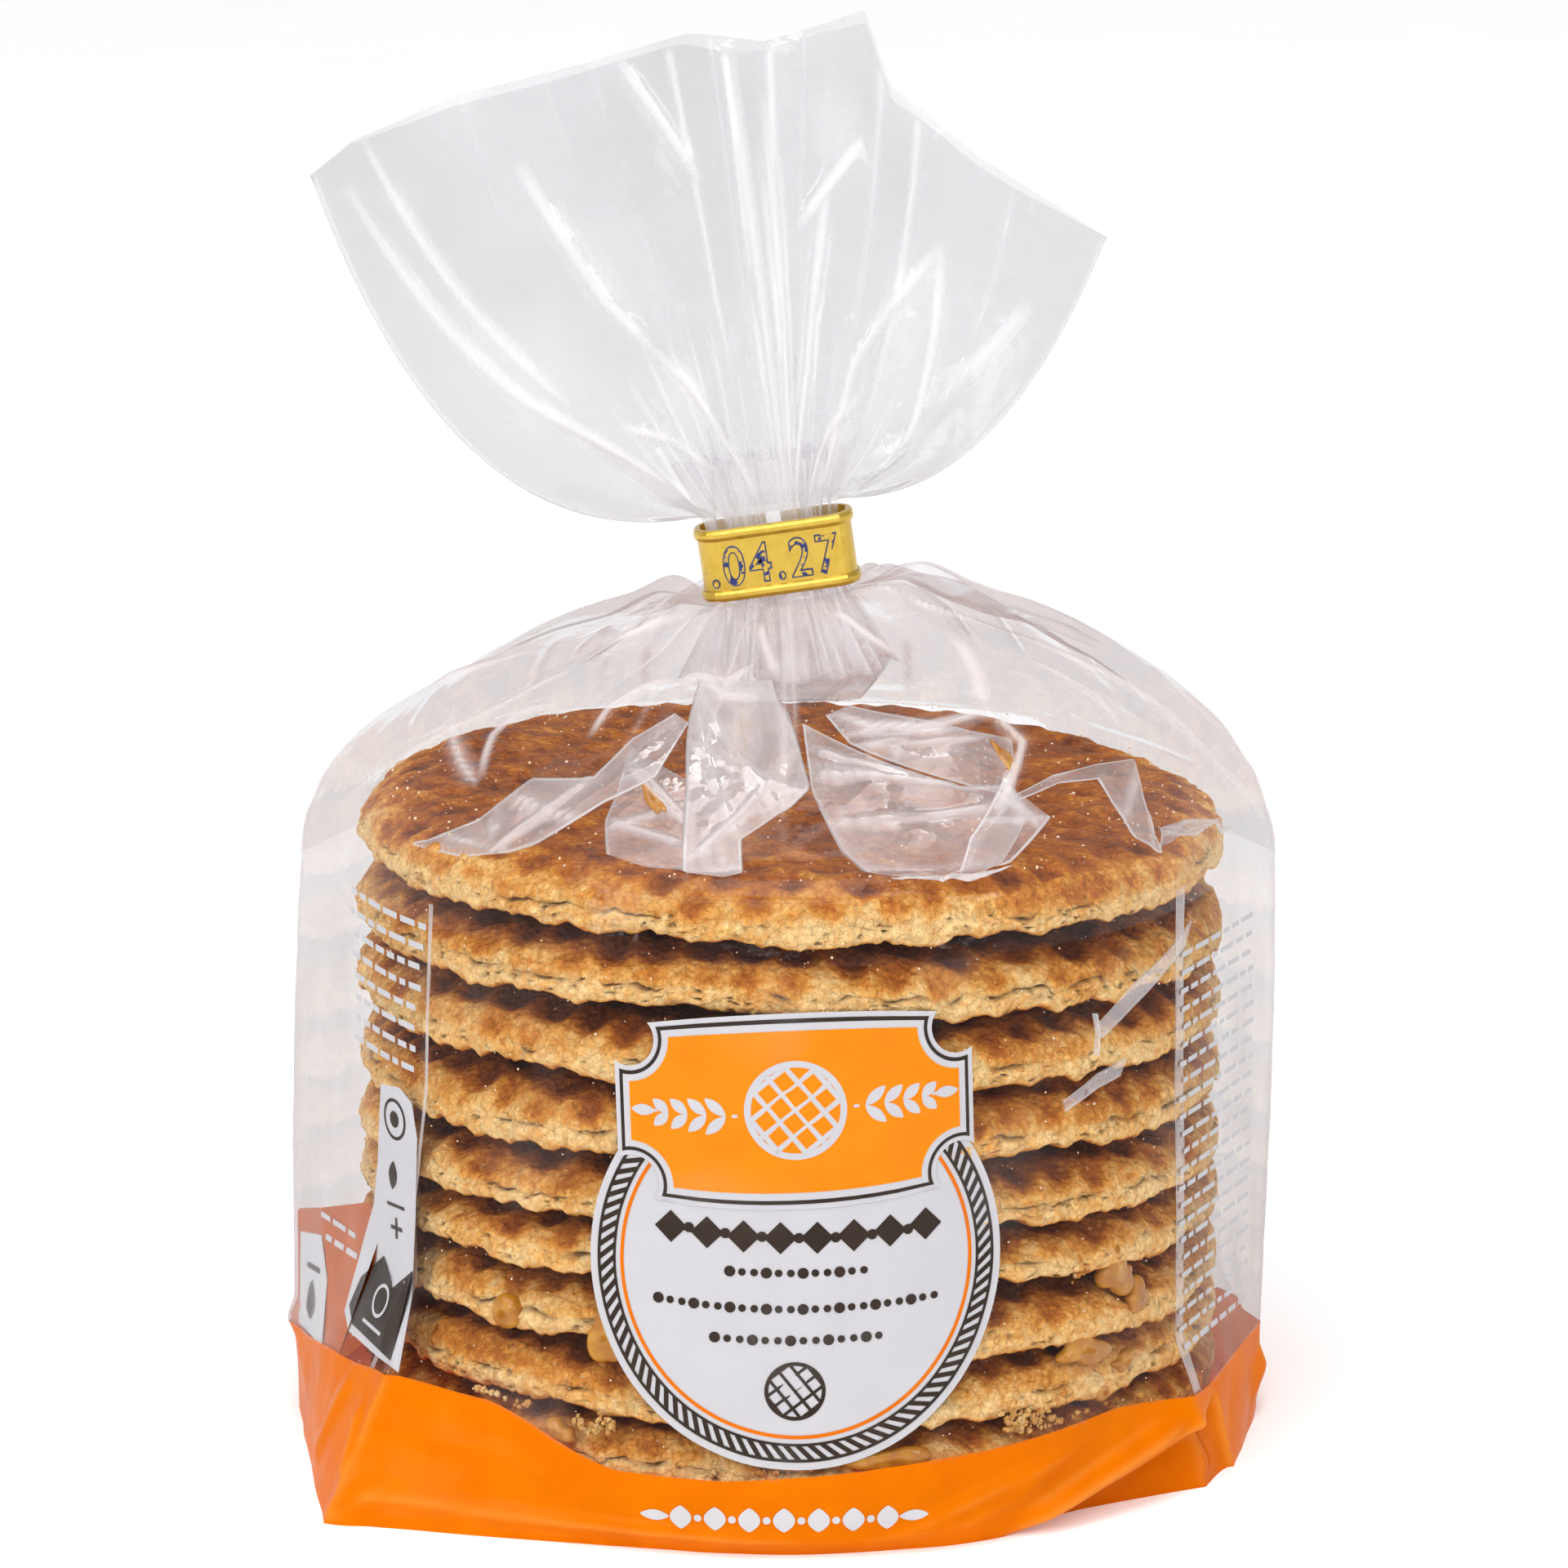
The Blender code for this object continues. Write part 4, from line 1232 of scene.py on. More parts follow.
def fan_painted_sheen(across, amount, front):
    """Patches of painted reflection on the fan's film, white like the soft boxes' reflections: panels with
    hard edges and soft clouds between.
    """
    place = np.stack([across * 15.0 + amount * 3.0, amount * 13.0, 0.0 * across + 9.0 * front], axis=-1)
    panel = ease(0.15, 0.5, facet_noise(place, 5.0, 64))
    cloud = ease(0.1, 0.75, value_noise(place, 3.6, 65))
    wisp = ease(0.3, 0.7, value_noise(place * np.array([1.0, 0.4, 1.0]), 1.1, 66))
    middle = 1.0 - 0.6 * ease(0.45, 0.95, np.abs(across))
    return middle * (0.10 * panel + 0.16 * cloud + 0.10 * cloud * wisp)


def build_fan():
    """The loose film above the clip: front and back sheet in one flattened tube."""
    heading, amount = film_grid(104, 540)
    across = 1.0 - 2.0 * np.abs(heading) / math.pi
    points = fan_point(heading, amount)
    neck_y = points[0, :, 1][None, :]
    front = heading < 0.0
    depth = np.where(front, fan_depth(across, amount, 1), fan_depth(across, amount, 0))
    side = np.where(front, -1.0, 1.0)
    points[..., 1] = neck_y * (1.0 - amount) ** 2 + side * np.maximum(depth, 0.12 * MM * amount)
    points = soften(points, 1)
    near = 1.0 - ease(0.0, 0.22, amount)
    bent = crease_mask(points) * blend(0.25, 1.0, ease(0.08, 0.45, amount))
    # White at bends and along the listed creases: partly crease whitening, partly painted highlight.
    crease = np.maximum(bent, 0.9 * fan_glint_strokes(across, amount, front))
    # Painted reflection: the fan's white patches stand in for reflections of the soft boxes; the haze near
    # the neck is layered film.
    veil_and_sheen = 0.16 * near + 2.1 * fan_painted_sheen(across, amount, front)
    film_piece("film_fan", points, FAN_FILM, {"crease": crease, "veil_and_sheen": veil_and_sheen})


build_fan()

# %% [markdown]
# ## Flaps inside the dome
# A side-gusset bag has spare film folded in at its sides. Drawn to the neck, that film hangs over the top
# wafer as flat flaps, two layers thick. Each is made between two edges that run from its root near the neck
# to its tip, and its two layers part a little in the middle, like a real folded sheet. The crease mask is
# full at the edges, so they show as crisp white lines: painted highlights along the folded edges.

# %% Flaps of spare film
DEGREE_SPAN = 0.8
AMOUNT_SPAN = 60.0
FLAP_LIP = 0.42
FLAPS = {
    "flap_left": (((-24, 0.62), (-30, 0.55), (-33, 0.45), (-44, 0.42), (-49, 0.30), (-61, 0.17)),
                  ((-20, 0.60), (-22, 0.47), (-29, 0.40), (-37, 0.28), (-48, 0.18), (-61, 0.165)), 1.6, 0.20),
    "flap_middle": (((-30, 0.54), (-28, 0.44), (-28, 0.37), (-26, 0.30)),
                    ((-16, 0.48), (-15, 0.41), (-14, 0.34), (-14, 0.275)), 2.2, 0.12),
    "flap_centre": (((-22, 0.70), (-20, 0.60), (-16, 0.45), (-14, 0.28), (-8, 0.24)),
                    ((-2, 0.70), (2, 0.56), (4, 0.46), (-6, 0.36), (-5.5, 0.29), (-8, 0.24)), 1.1, 0.44),
    "flap_right": (((3, 0.60), (4, 0.46), (8, 0.33), (16, 0.195), (20, 0.185)),
                   ((3, 0.60), (19, 0.49), (29, 0.42), (38, 0.40), (37, 0.32), (30, 0.235), (27, 0.185)),
                   1.5, 0.17),
    "flap_right_lip": (((14, 0.215), (20, 0.180), (27, 0.175), (32, 0.215)),
                       ((14, 0.215), (20, 0.196), (27, 0.194), (32, 0.215)), 1.2, 0.45),
    "flap_over": (((23, 0.22), (27, 0.31), (36, 0.41)),
                  ((23, 0.22), (32, 0.24), (41, 0.31)), 1.0, 0.12),
    "flap_sheet": (((8, 0.62), (12, 0.55), (24, 0.47), (36, 0.39)),
                   ((14, 0.64), (30, 0.58), (44, 0.50), (40, 0.43)), 2.0, 0.14),
    "flap_loop": (((30, 0.32), (36, 0.375), (46, 0.395), (56, 0.385), (66, 0.36), (62, 0.28), (59.5, 0.19),
                   (58, 0.04)),
                  ((30, 0.32), (36, 0.362), (46, 0.375), (54, 0.355), (54, 0.30), (55, 0.21), (56.5, 0.14),
                   (57.5, 0.04)),
                  1.3, 0.12),
    "flap_corner": (((58, 0.07), (64, 0.08), (83, 0.11)),
                    ((58, 0.07), (60, 0.13), (62, 0.19)), 1.5, 0.14),
    "flap_back": (((166, 0.66), (160, 0.46), (168, 0.30)),
                  ((178, 0.66), (186, 0.44), (178, 0.27)), 2.0, 0.06),
}


def along_route(route, count):
    """Places at even steps along a route of degrees and amounts."""
    route = np.array(route, dtype=float)
    steps = np.hypot(np.diff(route[:, 0]) * DEGREE_SPAN, np.diff(route[:, 1]) * AMOUNT_SPAN)
    reached = np.concatenate([[0.0], np.cumsum(steps)])
    wanted = np.linspace(0.0, reached[-1], count)
    return np.stack([np.interp(wanted, reached, route[:, axis]) for axis in (0, 1)], axis=-1)


def dome_normal(heading, amount):
    """Outward unit directions of the smooth dome."""
    step = 0.004
    around = dome_point(heading + step, amount) - dome_point(heading - step, amount)
    higher = dome_point(heading, np.minimum(amount + step, 1.0))
    upward = higher - dome_point(heading, np.maximum(amount - step, 0.0))
    normal = np.cross(around, upward)
    return normal / (np.linalg.norm(normal, axis=-1, keepdims=True) + 1e-12)


def under_dome(degrees, amount, depth):
    """Points under the dome's film, never lower than the top wafer."""
    heading = np.radians(degrees) - math.pi / 2
    points = dome_point(heading, amount) - depth[..., None] * dome_normal(heading, amount)
    radius = np.hypot(points[..., 0] - STACK_MIDDLE, points[..., 1])
    points[..., 2] = np.maximum(points[..., 2], rest_height(radius) - 0.25 * MM)
    return points


def flap_pleats(first, second, flat, seed):
    """Straight creases across a flap, from one edge to the other."""
    rng = np.random.default_rng(seed)
    span = np.array([DEGREE_SPAN, AMOUNT_SPAN])
    crest = np.zeros(flat.shape[:2])
    for _ in range(4):
        start, end = rng.integers(0, len(first), 2)
        route = [tuple(first[start, 0] * span), tuple(second[end, 0] * span)]
        crest = np.maximum(crest, lay_crease(flat[..., 0], flat[..., 1], route, 0.45))
    return crest


def build_flap(name, left, right, inset, veil_and_sheen, seed):
    """A folded sheet between two edges: out along one layer and back along the other."""
    rows, half = 48, 30
    first = along_route(left, rows)[:, None]
    second = along_route(right, rows)[:, None]
    turn = np.concatenate([np.linspace(0.0, 1.0, half), np.linspace(1.0, 0.0, half)[1:-1]])[None, :]
    layer = np.where(np.arange(turn.size)[None, :] < half, 1.0, -1.0)
    place = first + (second - first) * turn[..., None]
    degrees, amount = place[..., 0], place[..., 1]
    flat = np.stack([degrees * DEGREE_SPAN, amount * AMOUNT_SPAN, 9.0 * layer + seed + 0.0 * amount], axis=-1)
    swell = np.sin(math.pi * turn) * np.sin(math.pi * np.linspace(0.0, 1.0, rows))[:, None] ** 0.5
    panel = facet_noise(flat, 5.5, seed)
    crumple = 0.15 * facet_noise(flat[..., [1, 0, 2]], 2.3, seed + 1)
    depth = inset + swell * (0.55 * panel + crumple) - 0.3 * layer * swell
    pleat = flap_pleats(first, second, flat, seed)
    points = under_dome(degrees, amount, (depth - 0.35 * pleat) * MM)
    width = np.hypot((second - first)[..., 0] * DEGREE_SPAN, (second - first)[..., 1] * AMOUNT_SPAN)
    border = np.minimum(turn, 1.0 - turn) * width
    # Painted highlight: the flap's folded edges and pleats are made white.
    lip = 1.0 - ease(0.12, FLAP_LIP, border)
    crease = np.maximum(np.maximum(lip, 0.6 * pleat ** 0.6), 0.35 * crease_mask(points))
    down = np.linspace(0.0, 5.0, rows)[:, None]
    down_sheet = np.stack(np.broadcast_arrays(turn * width * 1.6, down, 9.0 * layer + seed), axis=-1)
    streak = value_noise(down_sheet, 1.0, seed + 2)
    cloud = 0.85 + 0.40 * panel + 0.30 * streak
    return film_piece(name, points, FOLD_FILM, {"crease": crease, "veil_and_sheen": veil_and_sheen * np.clip(cloud, 0.15, 1.6)})


for number, (name, (left, right, inset, veil_and_sheen)) in enumerate(FLAPS.items()):
    build_flap(name, left, right, inset, veil_and_sheen, 210 + number)

# %% [markdown]
# ## Flat print on the film
# Ink lies on the inside of the film, so each printed shape is a thin patch that follows the wall. A patch
# is given as an outline in millimetres round and up the wall. It is filled with small triangles, so that it
# bends with the film. Where inks overlap, each later one lies a few hundredths of a millimetre further out.

# %% Patches of ink on the wall
INK_STEP = 0.05
INK_DEEPEST = 0.34
FILL_STEP = 1.0


def fill_outline(outline, step=FILL_STEP):
    """Triangles inside an outline, with a lattice of inner points so that they can bend."""
    outline = np.array(outline, dtype=float)
    low, high = outline.min(axis=0), outline.max(axis=0)
    inner = []
    if min(high - low) > 2.0 * step:
        across = np.arange(low[0] + step / 2, high[0], step)
        up = np.arange(low[1] + step / 2, high[1], step)
        inner = [Vector((x + 0.001 * z, z)) for x in across for z in up]
    ring = [Vector(point) for point in outline]
    edges = [(index, (index + 1) % len(ring)) for index in range(len(ring))]
    points, _, faces, _, _, _ = delaunay_2d_cdt(ring + inner, edges, [], 1, 1e-5)
    return np.array([point[:] for point in points]), np.array([face[:] for face in faces], dtype=int)


def ink_piece(name, outlines, material, layer):
    """One piece of ink from many outlines round and up the wall."""
    depth = (INK_DEEPEST - INK_STEP * layer) * MM
    all_points, all_faces, count = [], [], 0
    for outline in outlines:
        places, faces = fill_outline(outline)
        all_points.append(on_wall(heading_of(places[:, 0]), places[:, 1] * MM, depth))
        all_faces.append(faces + count)
        count += len(places)
    piece = mesh_piece(name, np.concatenate(all_points), [np.concatenate(all_faces)], material)
    return wear_bag(piece)


def circle(middle, radius, count=96, start=0.0, end=360.0):
    """Places on a circle, or on a part of one."""
    turn = np.radians(np.linspace(start, end, count, endpoint=end - start < 360.0))
    return np.stack([middle[0] + radius * np.cos(turn), middle[1] + radius * np.sin(turn)], axis=-1)


def band(middle, inner, outer, start=0.0, end=360.0, pieces=24):
    """A ring, or a part of one, as short closed pieces."""
    turns = np.linspace(start, end, pieces + 1)
    made = []
    for first, last in zip(turns, turns[1:]):
        out = circle(middle, outer, 6, first, last)
        back = circle(middle, inner, 6, first, last)
        made.append(np.concatenate([out, back[::-1]]))
    return made


def stroke(start, end, width):
    """A straight stroke of ink."""
    start, end = np.array(start, dtype=float), np.array(end, dtype=float)
    run = end - start
    side = np.array([-run[1], run[0]]) / np.linalg.norm(run) * width / 2
    return np.array([start + side, start - side, end - side, end + side])


def leaf(root, length, width, heading_up, count=14):
    """A pointed leaf that grows from a place at a heading in degrees."""
    share = np.linspace(0.0, 1.0, count)
    bulge = width / 2 * np.sin(math.pi * share) ** 0.8
    upper = np.stack([length * share, bulge], axis=-1)
    lower = np.stack([length * share, -bulge], axis=-1)[-2:0:-1]
    shape = np.concatenate([upper, lower])
    turn = math.radians(heading_up)
    x = shape[:, 0] * math.cos(turn) - shape[:, 1] * math.sin(turn)
    z = shape[:, 0] * math.sin(turn) + shape[:, 1] * math.cos(turn)
    return np.stack([root[0] + x, root[1] + z], axis=-1)


def turned(shape, middle, degrees):
    """A shape turned about a place."""
    turn = math.radians(degrees)
    off = np.asarray(shape) - np.array(middle)
    x = off[:, 0] * math.cos(turn) - off[:, 1] * math.sin(turn)
    z = off[:, 0] * math.sin(turn) + off[:, 1] * math.cos(turn)
    return np.stack([middle[0] + x, middle[1] + z], axis=-1)


# %% Round label
LABEL = (1.35, 32.0)
LABEL_RADIUS = 22.2
ROPE_INNER = 19.45
ROPE_OUTER = 21.2
ROPE_STRANDS = 96
LINE_RADIUS = 18.6
TICKET = (1.2, 48.6)
TICKET_HALF = (17.2, 7.4)
TICKET_NOTCH = 4.4
TICKET_LEAN = 2.0


def ticket(outset):
    """A ticket with round notches for corners, grown outwards by an amount."""
    wide, high = TICKET_HALF
    notch = TICKET_NOTCH - outset
    reach = math.degrees(math.asin(outset / notch)) if outset > 0.0 else 0.0
    shape = []
    for side_x, side_z, first in ((1, 1, 270.0), (-1, 1, 360.0), (-1, -1, 90.0), (1, -1, 180.0)):
        centre = (TICKET[0] + side_x * wide, TICKET[1] + side_z * high)
        shape.append(circle(centre, notch, 16, first + reach, first - 90.0 - reach))
        if side_x == side_z:
            edge = np.linspace(side_x, -side_x, 16)[3:-3] * wide
            level = np.full(10, TICKET[1] + side_z * (high + outset))
            shape.append(np.stack([TICKET[0] + edge, level], axis=-1))
    bow = np.concatenate(shape)
    bow[:, 1] += 1.1 * (1.0 - ((bow[:, 0] - TICKET[0]) / wide) ** 2) * (bow[:, 1] - TICKET[1]) / high
    return turned(bow, TICKET, TICKET_LEAN)


def rope():
    """Two thin circles with slanting strokes between them, like a twisted cord."""
    shapes = band(LABEL, ROPE_OUTER - 0.17, ROPE_OUTER + 0.17, pieces=48)
    shapes += band(LABEL, ROPE_INNER - 0.15, ROPE_INNER + 0.15, pieces=48)
    for strand in range(ROPE_STRANDS):
        turn = math.radians(360.0 * strand / ROPE_STRANDS)
        slant = turn + math.radians(4.5)
        start = (LABEL[0] + ROPE_INNER * math.cos(turn), LABEL[1] + ROPE_INNER * math.sin(turn))
        end = (LABEL[0] + ROPE_OUTER * math.cos(slant), LABEL[1] + ROPE_OUTER * math.sin(slant))
        shapes.append(stroke(start, end, 0.52))
    return shapes


def lattice_roundel(middle, radius, line, pitch):
    """A round waffle drawn in line: a ring and the chords of a slanting lattice."""
    shapes = band(middle, radius - line, radius, pieces=24)
    for slope in (38.0, 128.0):
        for step in range(-4, 5):
            off = step * pitch
            if abs(off) < radius - line:
                reach = math.sqrt((radius - line / 2) ** 2 - off ** 2)
                ends = [(middle[0] + side * reach, middle[1] + off) for side in (-1, 1)]
                chord = stroke(*ends, line * 0.8)
                shapes.append(turned(chord, middle, slope))
    return shapes


def sprig(root, side):
    """A stem with pairs of leaves, to one side."""
    shapes = [stroke(root, (root[0] + side * 9.0, root[1] + 0.5), 0.34)]
    for pair in range(4):
        stem = (root[0] + side * (1.2 + 2.0 * pair), root[1] + 0.1 * pair)
        for turn in (42.0, -42.0):
            shapes.append(leaf(stem, 2.9 - 0.25 * pair, 1.15, turn if side > 0 else 180.0 - turn))
    shapes.append(leaf((root[0] + side * 8.6, root[1] + 0.45), 2.6, 1.2, 3.0 if side > 0 else 177.0))
    return shapes


def diamond_row(middle, half_length, count, half_height):
    """A row of big diamonds with a dot between each two."""
    shapes = []
    for number in range(count):
        place = middle[0] + half_length * (2.0 * number / (count - 1) - 1.0)
        rise = 0.9 * ((place - middle[0]) / half_length) ** 2
        shapes.append(circle((place, middle[1] + rise), half_height, 4) * 1.0)
        if number < count - 1:
            bead = (place + half_length / (count - 1), middle[1] + rise)
            shapes.append(circle(bead, half_height * 0.33, 10))
    return shapes


def bead_row(middle, half_length, pitch, radius):
    """A row of small dots of two sizes on a gently hollow line."""
    count = int(2 * half_length / pitch)
    shapes = []
    for number in range(count + 1):
        place = middle[0] + half_length * (2.0 * number / count - 1.0)
        rise = 0.9 * ((place - middle[0]) / 16.0) ** 2
        shapes.append(circle((place, middle[1] + rise), radius * (1.0 if number % 3 else 1.45), 10))
    return shapes


def build_label():
    """Disc, rope, thin ring, ticket with its motifs, and rows of simple ornament."""
    ink_piece("label_disc", [circle(LABEL, LABEL_RADIUS)], WHITE, 0)
    ink_piece("label_rope", rope(), DARK, 1)
    ink_piece("label_line", band(LABEL, LINE_RADIUS - 0.2, LINE_RADIUS + 0.2, pieces=48), ORANGE, 1)
    rows = diamond_row((LABEL[0] + 0.2, 35.0), 13.4, 8, 1.75)
    rows += bead_row((LABEL[0], 31.2), 7.0, 1.25, 0.42)
    rows += bead_row((LABEL[0], 27.3), 14.6, 1.25, 0.42)
    rows += bead_row((LABEL[0], 23.9), 8.6, 1.25, 0.42)
    rows += lattice_roundel((LABEL[0] - 0.2, 18.4), 3.2, 0.42, 1.35)
    ink_piece("label_rows", rows, DARK, 1)
    ink_piece("ticket_border", [ticket(1.75)], WHITE, 2)
    ink_piece("ticket_keyline", [ticket(1.25)], DARK, 3)
    ink_piece("ticket_gap", [ticket(0.85)], WHITE, 4)
    ink_piece("ticket_ground", [ticket(0.15)], PALE_ORANGE, 5)
    motifs = lattice_roundel((TICKET[0], TICKET[1] + 0.2), 5.3, 0.7, 2.1)
    motifs += sprig((TICKET[0] + 6.0, TICKET[1] + 0.3), 1.0)
    motifs += sprig((TICKET[0] - 6.0, TICKET[1] - 0.3), -1.0)
    ink_piece("ticket_motifs", [turned(shape, TICKET, TICKET_LEAN) for shape in motifs], WHITE, 6)


build_label()

# %% Side panels and foot ornament
BAR_GAP = 0.7


def bar_rows(left_edge, right_edge, top, bottom, pitch, tall, seed):
    """Rows of plain short bars: small print reduced to its texture."""
    rng = np.random.default_rng(seed)
    shapes = []
    for level in np.arange(top, bottom, -pitch):
        share = (top - level) / (top - bottom)
        place = blend(left_edge[0], left_edge[1], share) + rng.uniform(0.0, 1.2)
        end = blend(right_edge[0], right_edge[1], share)
        while place < end:
            long = min(rng.uniform(1.2, 3.6), end - place + 0.4)
            shapes.append(stroke((place, level), (place + long, level), tall))
            place += long + BAR_GAP
    return shapes


TAB_TOP = 44.0
TAB_SQUEEZE = 0.905


def on_tab(outline):
    """An outline drawn on the tall tab, drawn up to the tab's real length."""
    shape = np.array(outline, dtype=float)
    shape[:, 1] = TAB_TOP - TAB_SQUEEZE * (TAB_TOP - shape[:, 1])
    return shape


LEFT_TAB = ((-53.6, 43.8), (-49.0, 44.6), (-46.4, 43.4), (-45.4, 39.3), (-45.8, 30.0), (-45.6, 20.0),
            (-43.2, 12.2), (-48.4, 12.4), (-57.4, 12.2), (-60.0, 13.8), (-60.2, 18.0), (-58.8, 23.0),
            (-56.0, 28.2), (-54.6, 34.0))
LEFT_TAB_BLOCK = ((-53.4, 22.6), (-50.4, 19.6), (-46.6, 22.8), (-44.6, 13.2), (-57.0, 13.2), (-59.2, 14.8),
                  (-58.4, 18.4))
LEFT_PANEL = ((-78.0, 22.5), (-70.0, 25.2), (-57.2, 29.6), (-55.0, 26.0), (-58.0, 12.0), (-78.0, 8.5))
SMALL_TAB = ((-74.5, 21.0), (-69.5, 22.2), (-66.2, 18.2), (-64.2, 11.2), (-73.5, 10.6))


def build_side_print():
    """White rows, the white tab with its dark block, and the orange panel of the left side in a darker
    orange, as painted shade.
    """
    rows = bar_rows((-62.0, -61.0), (-43.4, -46.6), 63.4, 45.5, 2.3, 0.68, 301)
    ink_piece("rows_left", rows, WHITE, 2)
    ink_piece("panel_left", [LEFT_PANEL], SHADED_ORANGE, 0)
    ink_piece("tab_left", [on_tab(LEFT_TAB)], WHITE, 2)
    ink_piece("tab_small", [SMALL_TAB], WHITE, 2)
    marks = [LEFT_TAB_BLOCK]
    marks += band((-50.2, 40.4), 2.1, 2.5, pieces=16)
    marks += [circle((-50.2, 40.4), 1.0, 16)]
    marks += [leaf((-50.9, 31.6), 3.6, 1.9, 84.0), stroke((-52.2, 29.6), (-48.2, 29.9), 0.45)]
    marks += [stroke((-51.4, 26.9), (-48.8, 27.1), 0.5), stroke((-50.1, 25.7), (-50.1, 28.3), 0.5)]
    marks = [on_tab(shape) for shape in marks]
    marks += [stroke((-72.2, 18.0), (-68.4, 18.4), 0.6), leaf((-70.4, 12.2), 4.6, 2.6, 88.0)]
    ink_piece("tab_marks", marks, DARK, 3)
    pale = band((-52.0, 17.6), 1.5, 1.9, pieces=16) + [stroke((-54.6, 14.6), (-49.2, 14.6), 0.4)]
    ink_piece("tab_pale_marks", [on_tab(shape) for shape in pale], WHITE, 4)
    rows = bar_rows((50.9, 52.6), (70.5, 71.5), 58.4, 13.0, 2.0, 0.58, 302)
    ink_piece("rows_right", rows, WHITE, 2)
    rows = bar_rows((-70.0, -69.0), (-60.5, -61.5), 24.6, 20.6, 2.2, 0.65, 303)
    ink_piece("rows_low", rows, WHITE, 2)


def build_foot_ornament():
    """A white border of lozenges and dots on the orange foot."""
    shapes = []
    for number in range(7):
        place = -10.8 + 3.6 * number
        shapes.append(turned(leaf((place - 1.35, 4.4), 2.7, 2.3, 0.0), (place, 4.4), 90.0))
        if number < 6:
            shapes.append(circle((place + 1.8, 4.4), 0.42, 12))
    shapes += [leaf((12.0, 4.4), 3.2, 1.2, 0.0), leaf((-12.0, 4.4), 3.2, 1.2, 180.0)]
    ink_piece("foot_ornament", shapes, WHITE, (INK_DEEPEST + 0.07) / INK_STEP)


build_side_print()
build_foot_ornament()

# %% [markdown]
# ## Caramel, crumbs and specks
# The filling squeezes out and sets as amber drops and smears between the wafers and the film. Each is a
# low blob, pressed nearly flat by the film. Crumbs from the rims lie in the gaps, and tiny pale grains of
# sugar and fat lie all over; their pale colour also stands in for glints of syrup, as painted glints.

# %% Caramel
def caramel_material():
    """Set syrup: amber, glossy, a little cloudy, and light shines a short way into it."""
    material, tree, shader = new_material("caramel")
    place = place_of(tree)
    cloud = noise_of(tree, place, 0.0022, 3.0)
    colour = ramp(tree, cloud, [
        (0.30, (0.30, 0.100, 0.004)),
        (0.55, (0.42, 0.170, 0.008)),
        (0.75, (0.55, 0.28, 0.03)),
    ])
    tree.links.new(colour, shader.inputs["Base Color"])
    shader.inputs["Roughness"].default_value = 0.08
    shader.inputs["Subsurface Weight"].default_value = 0.08
    shader.inputs["Subsurface Radius"].default_value = (1.0, 0.5, 0.2)
    shader.inputs["Subsurface Scale"].default_value = 0.002
    tree.links.new(bump(tree, noise_of(tree, place, 0.0012, 3.0), 0.0003, 0.5), shader.inputs["Normal"])
    return material


CARAMEL = caramel_material()
DROPS = (
    ((-32.3, 23.4), (1.95, 1.85), 0.04, 1.5),
    ((-19.4, 22.9), (2.3, 3.0), 0.20, 1.2),
    ((-24.8, 11.8), (1.7, 1.1), 0.35, 1.2),
    ((38.1, 13.3), (1.25, 1.15), 0.05, 1.2),
    ((35.6, 18.6), (3.6, 1.9), 0.40, 1.2),
    ((40.6, 25.9), (3.4, 2.1), 0.45, 1.2),
    ((44.4, 22.4), (2.2, 1.5), 0.40, 1.0),
    ((41.8, 15.8), (1.8, 1.0), 0.35, 1.0),
    ((11.4, 10.2), (4.0, 1.5), 0.25, 1.0),
)


def build_caramel():
    """One joined piece of all the drops on the inside of the film."""
    rng = np.random.default_rng(401)
    points, faces, count = [], [], 0
    rings, columns = 15, 40
    turn = np.arange(columns)[None, :] * 2.0 * math.pi / columns
    share = np.linspace(0.0, 1.0, rings)[:, None]
    for (arc, height), (wide, tall), rough, thick in DROPS:
        phases = rng.uniform(0.0, 2.0 * math.pi, 4)
        ragged = 1.0 + rough * sum(np.sin((2 + k) * turn + phases[k]) / (1.5 + k) for k in range(4))
        spread = np.sin(math.pi * np.clip(share, 0.0, 1.0)) ** 0.42
        places_arc = arc + wide * ragged * spread
        places_arc = arc + (places_arc - arc) * np.cos(turn)
        places_z = height + tall * ragged * spread * np.sin(turn)
        depth = 0.42 + 0.75 * thick * (1.0 - np.cos(math.pi * share)) + 0.0 * turn
        grid = on_wall(heading_of(places_arc), places_z * MM, depth * MM)
        ends = np.stack([grid[0].mean(axis=0), grid[-1].mean(axis=0)])
        points.append(np.concatenate([grid.reshape(-1, 3), ends]))
        body = grid_faces(rings, columns) + count
        first = fan_faces(rings * columns, np.arange(columns)) + count
        last = fan_faces(rings * columns + 1, np.arange((rings - 1) * columns, rings * columns)) + count
        faces += [body, first[:, ::-1], last]
        count += rings * columns + 2
    piece = wear_bag(mesh_piece("caramel_drops", np.concatenate(points), faces, CARAMEL))
    return piece


# %% Crumbs and specks
CRUMB_HEAPS = (((26.2, 11.6), 1.7, 60), ((34.9, 26.8), 1.6, 34), ((44.6, 20.4), 1.5, 30),
               ((-20.6, 12.0), 1.5, 34), ((-3.0, 10.0), 9.0, 26), ((30.0, 11.0), 6.0, 30),
               ((-33.0, 10.8), 5.0, 16))


def grain(middle, size, rng, rough=0.35, rows=7, columns=10):
    """Points of one small uneven grain."""
    rise = np.linspace(0.0, math.pi, rows)[:, None]
    turn = np.arange(columns)[None, :] * 2.0 * math.pi / columns
    out = np.sin(rise)
    ball = np.stack([out * np.cos(turn), out * np.sin(turn), np.cos(rise) + 0.0 * turn], axis=-1)
    uneven = 1.0 + rough * rng.uniform(-1.0, 1.0, ball.shape[:2])[..., None]
    uneven[[0, -1]] = 1.0
    squash = rng.uniform(0.6, 1.1, 3)
    return np.array(middle) + ball * uneven * squash * size


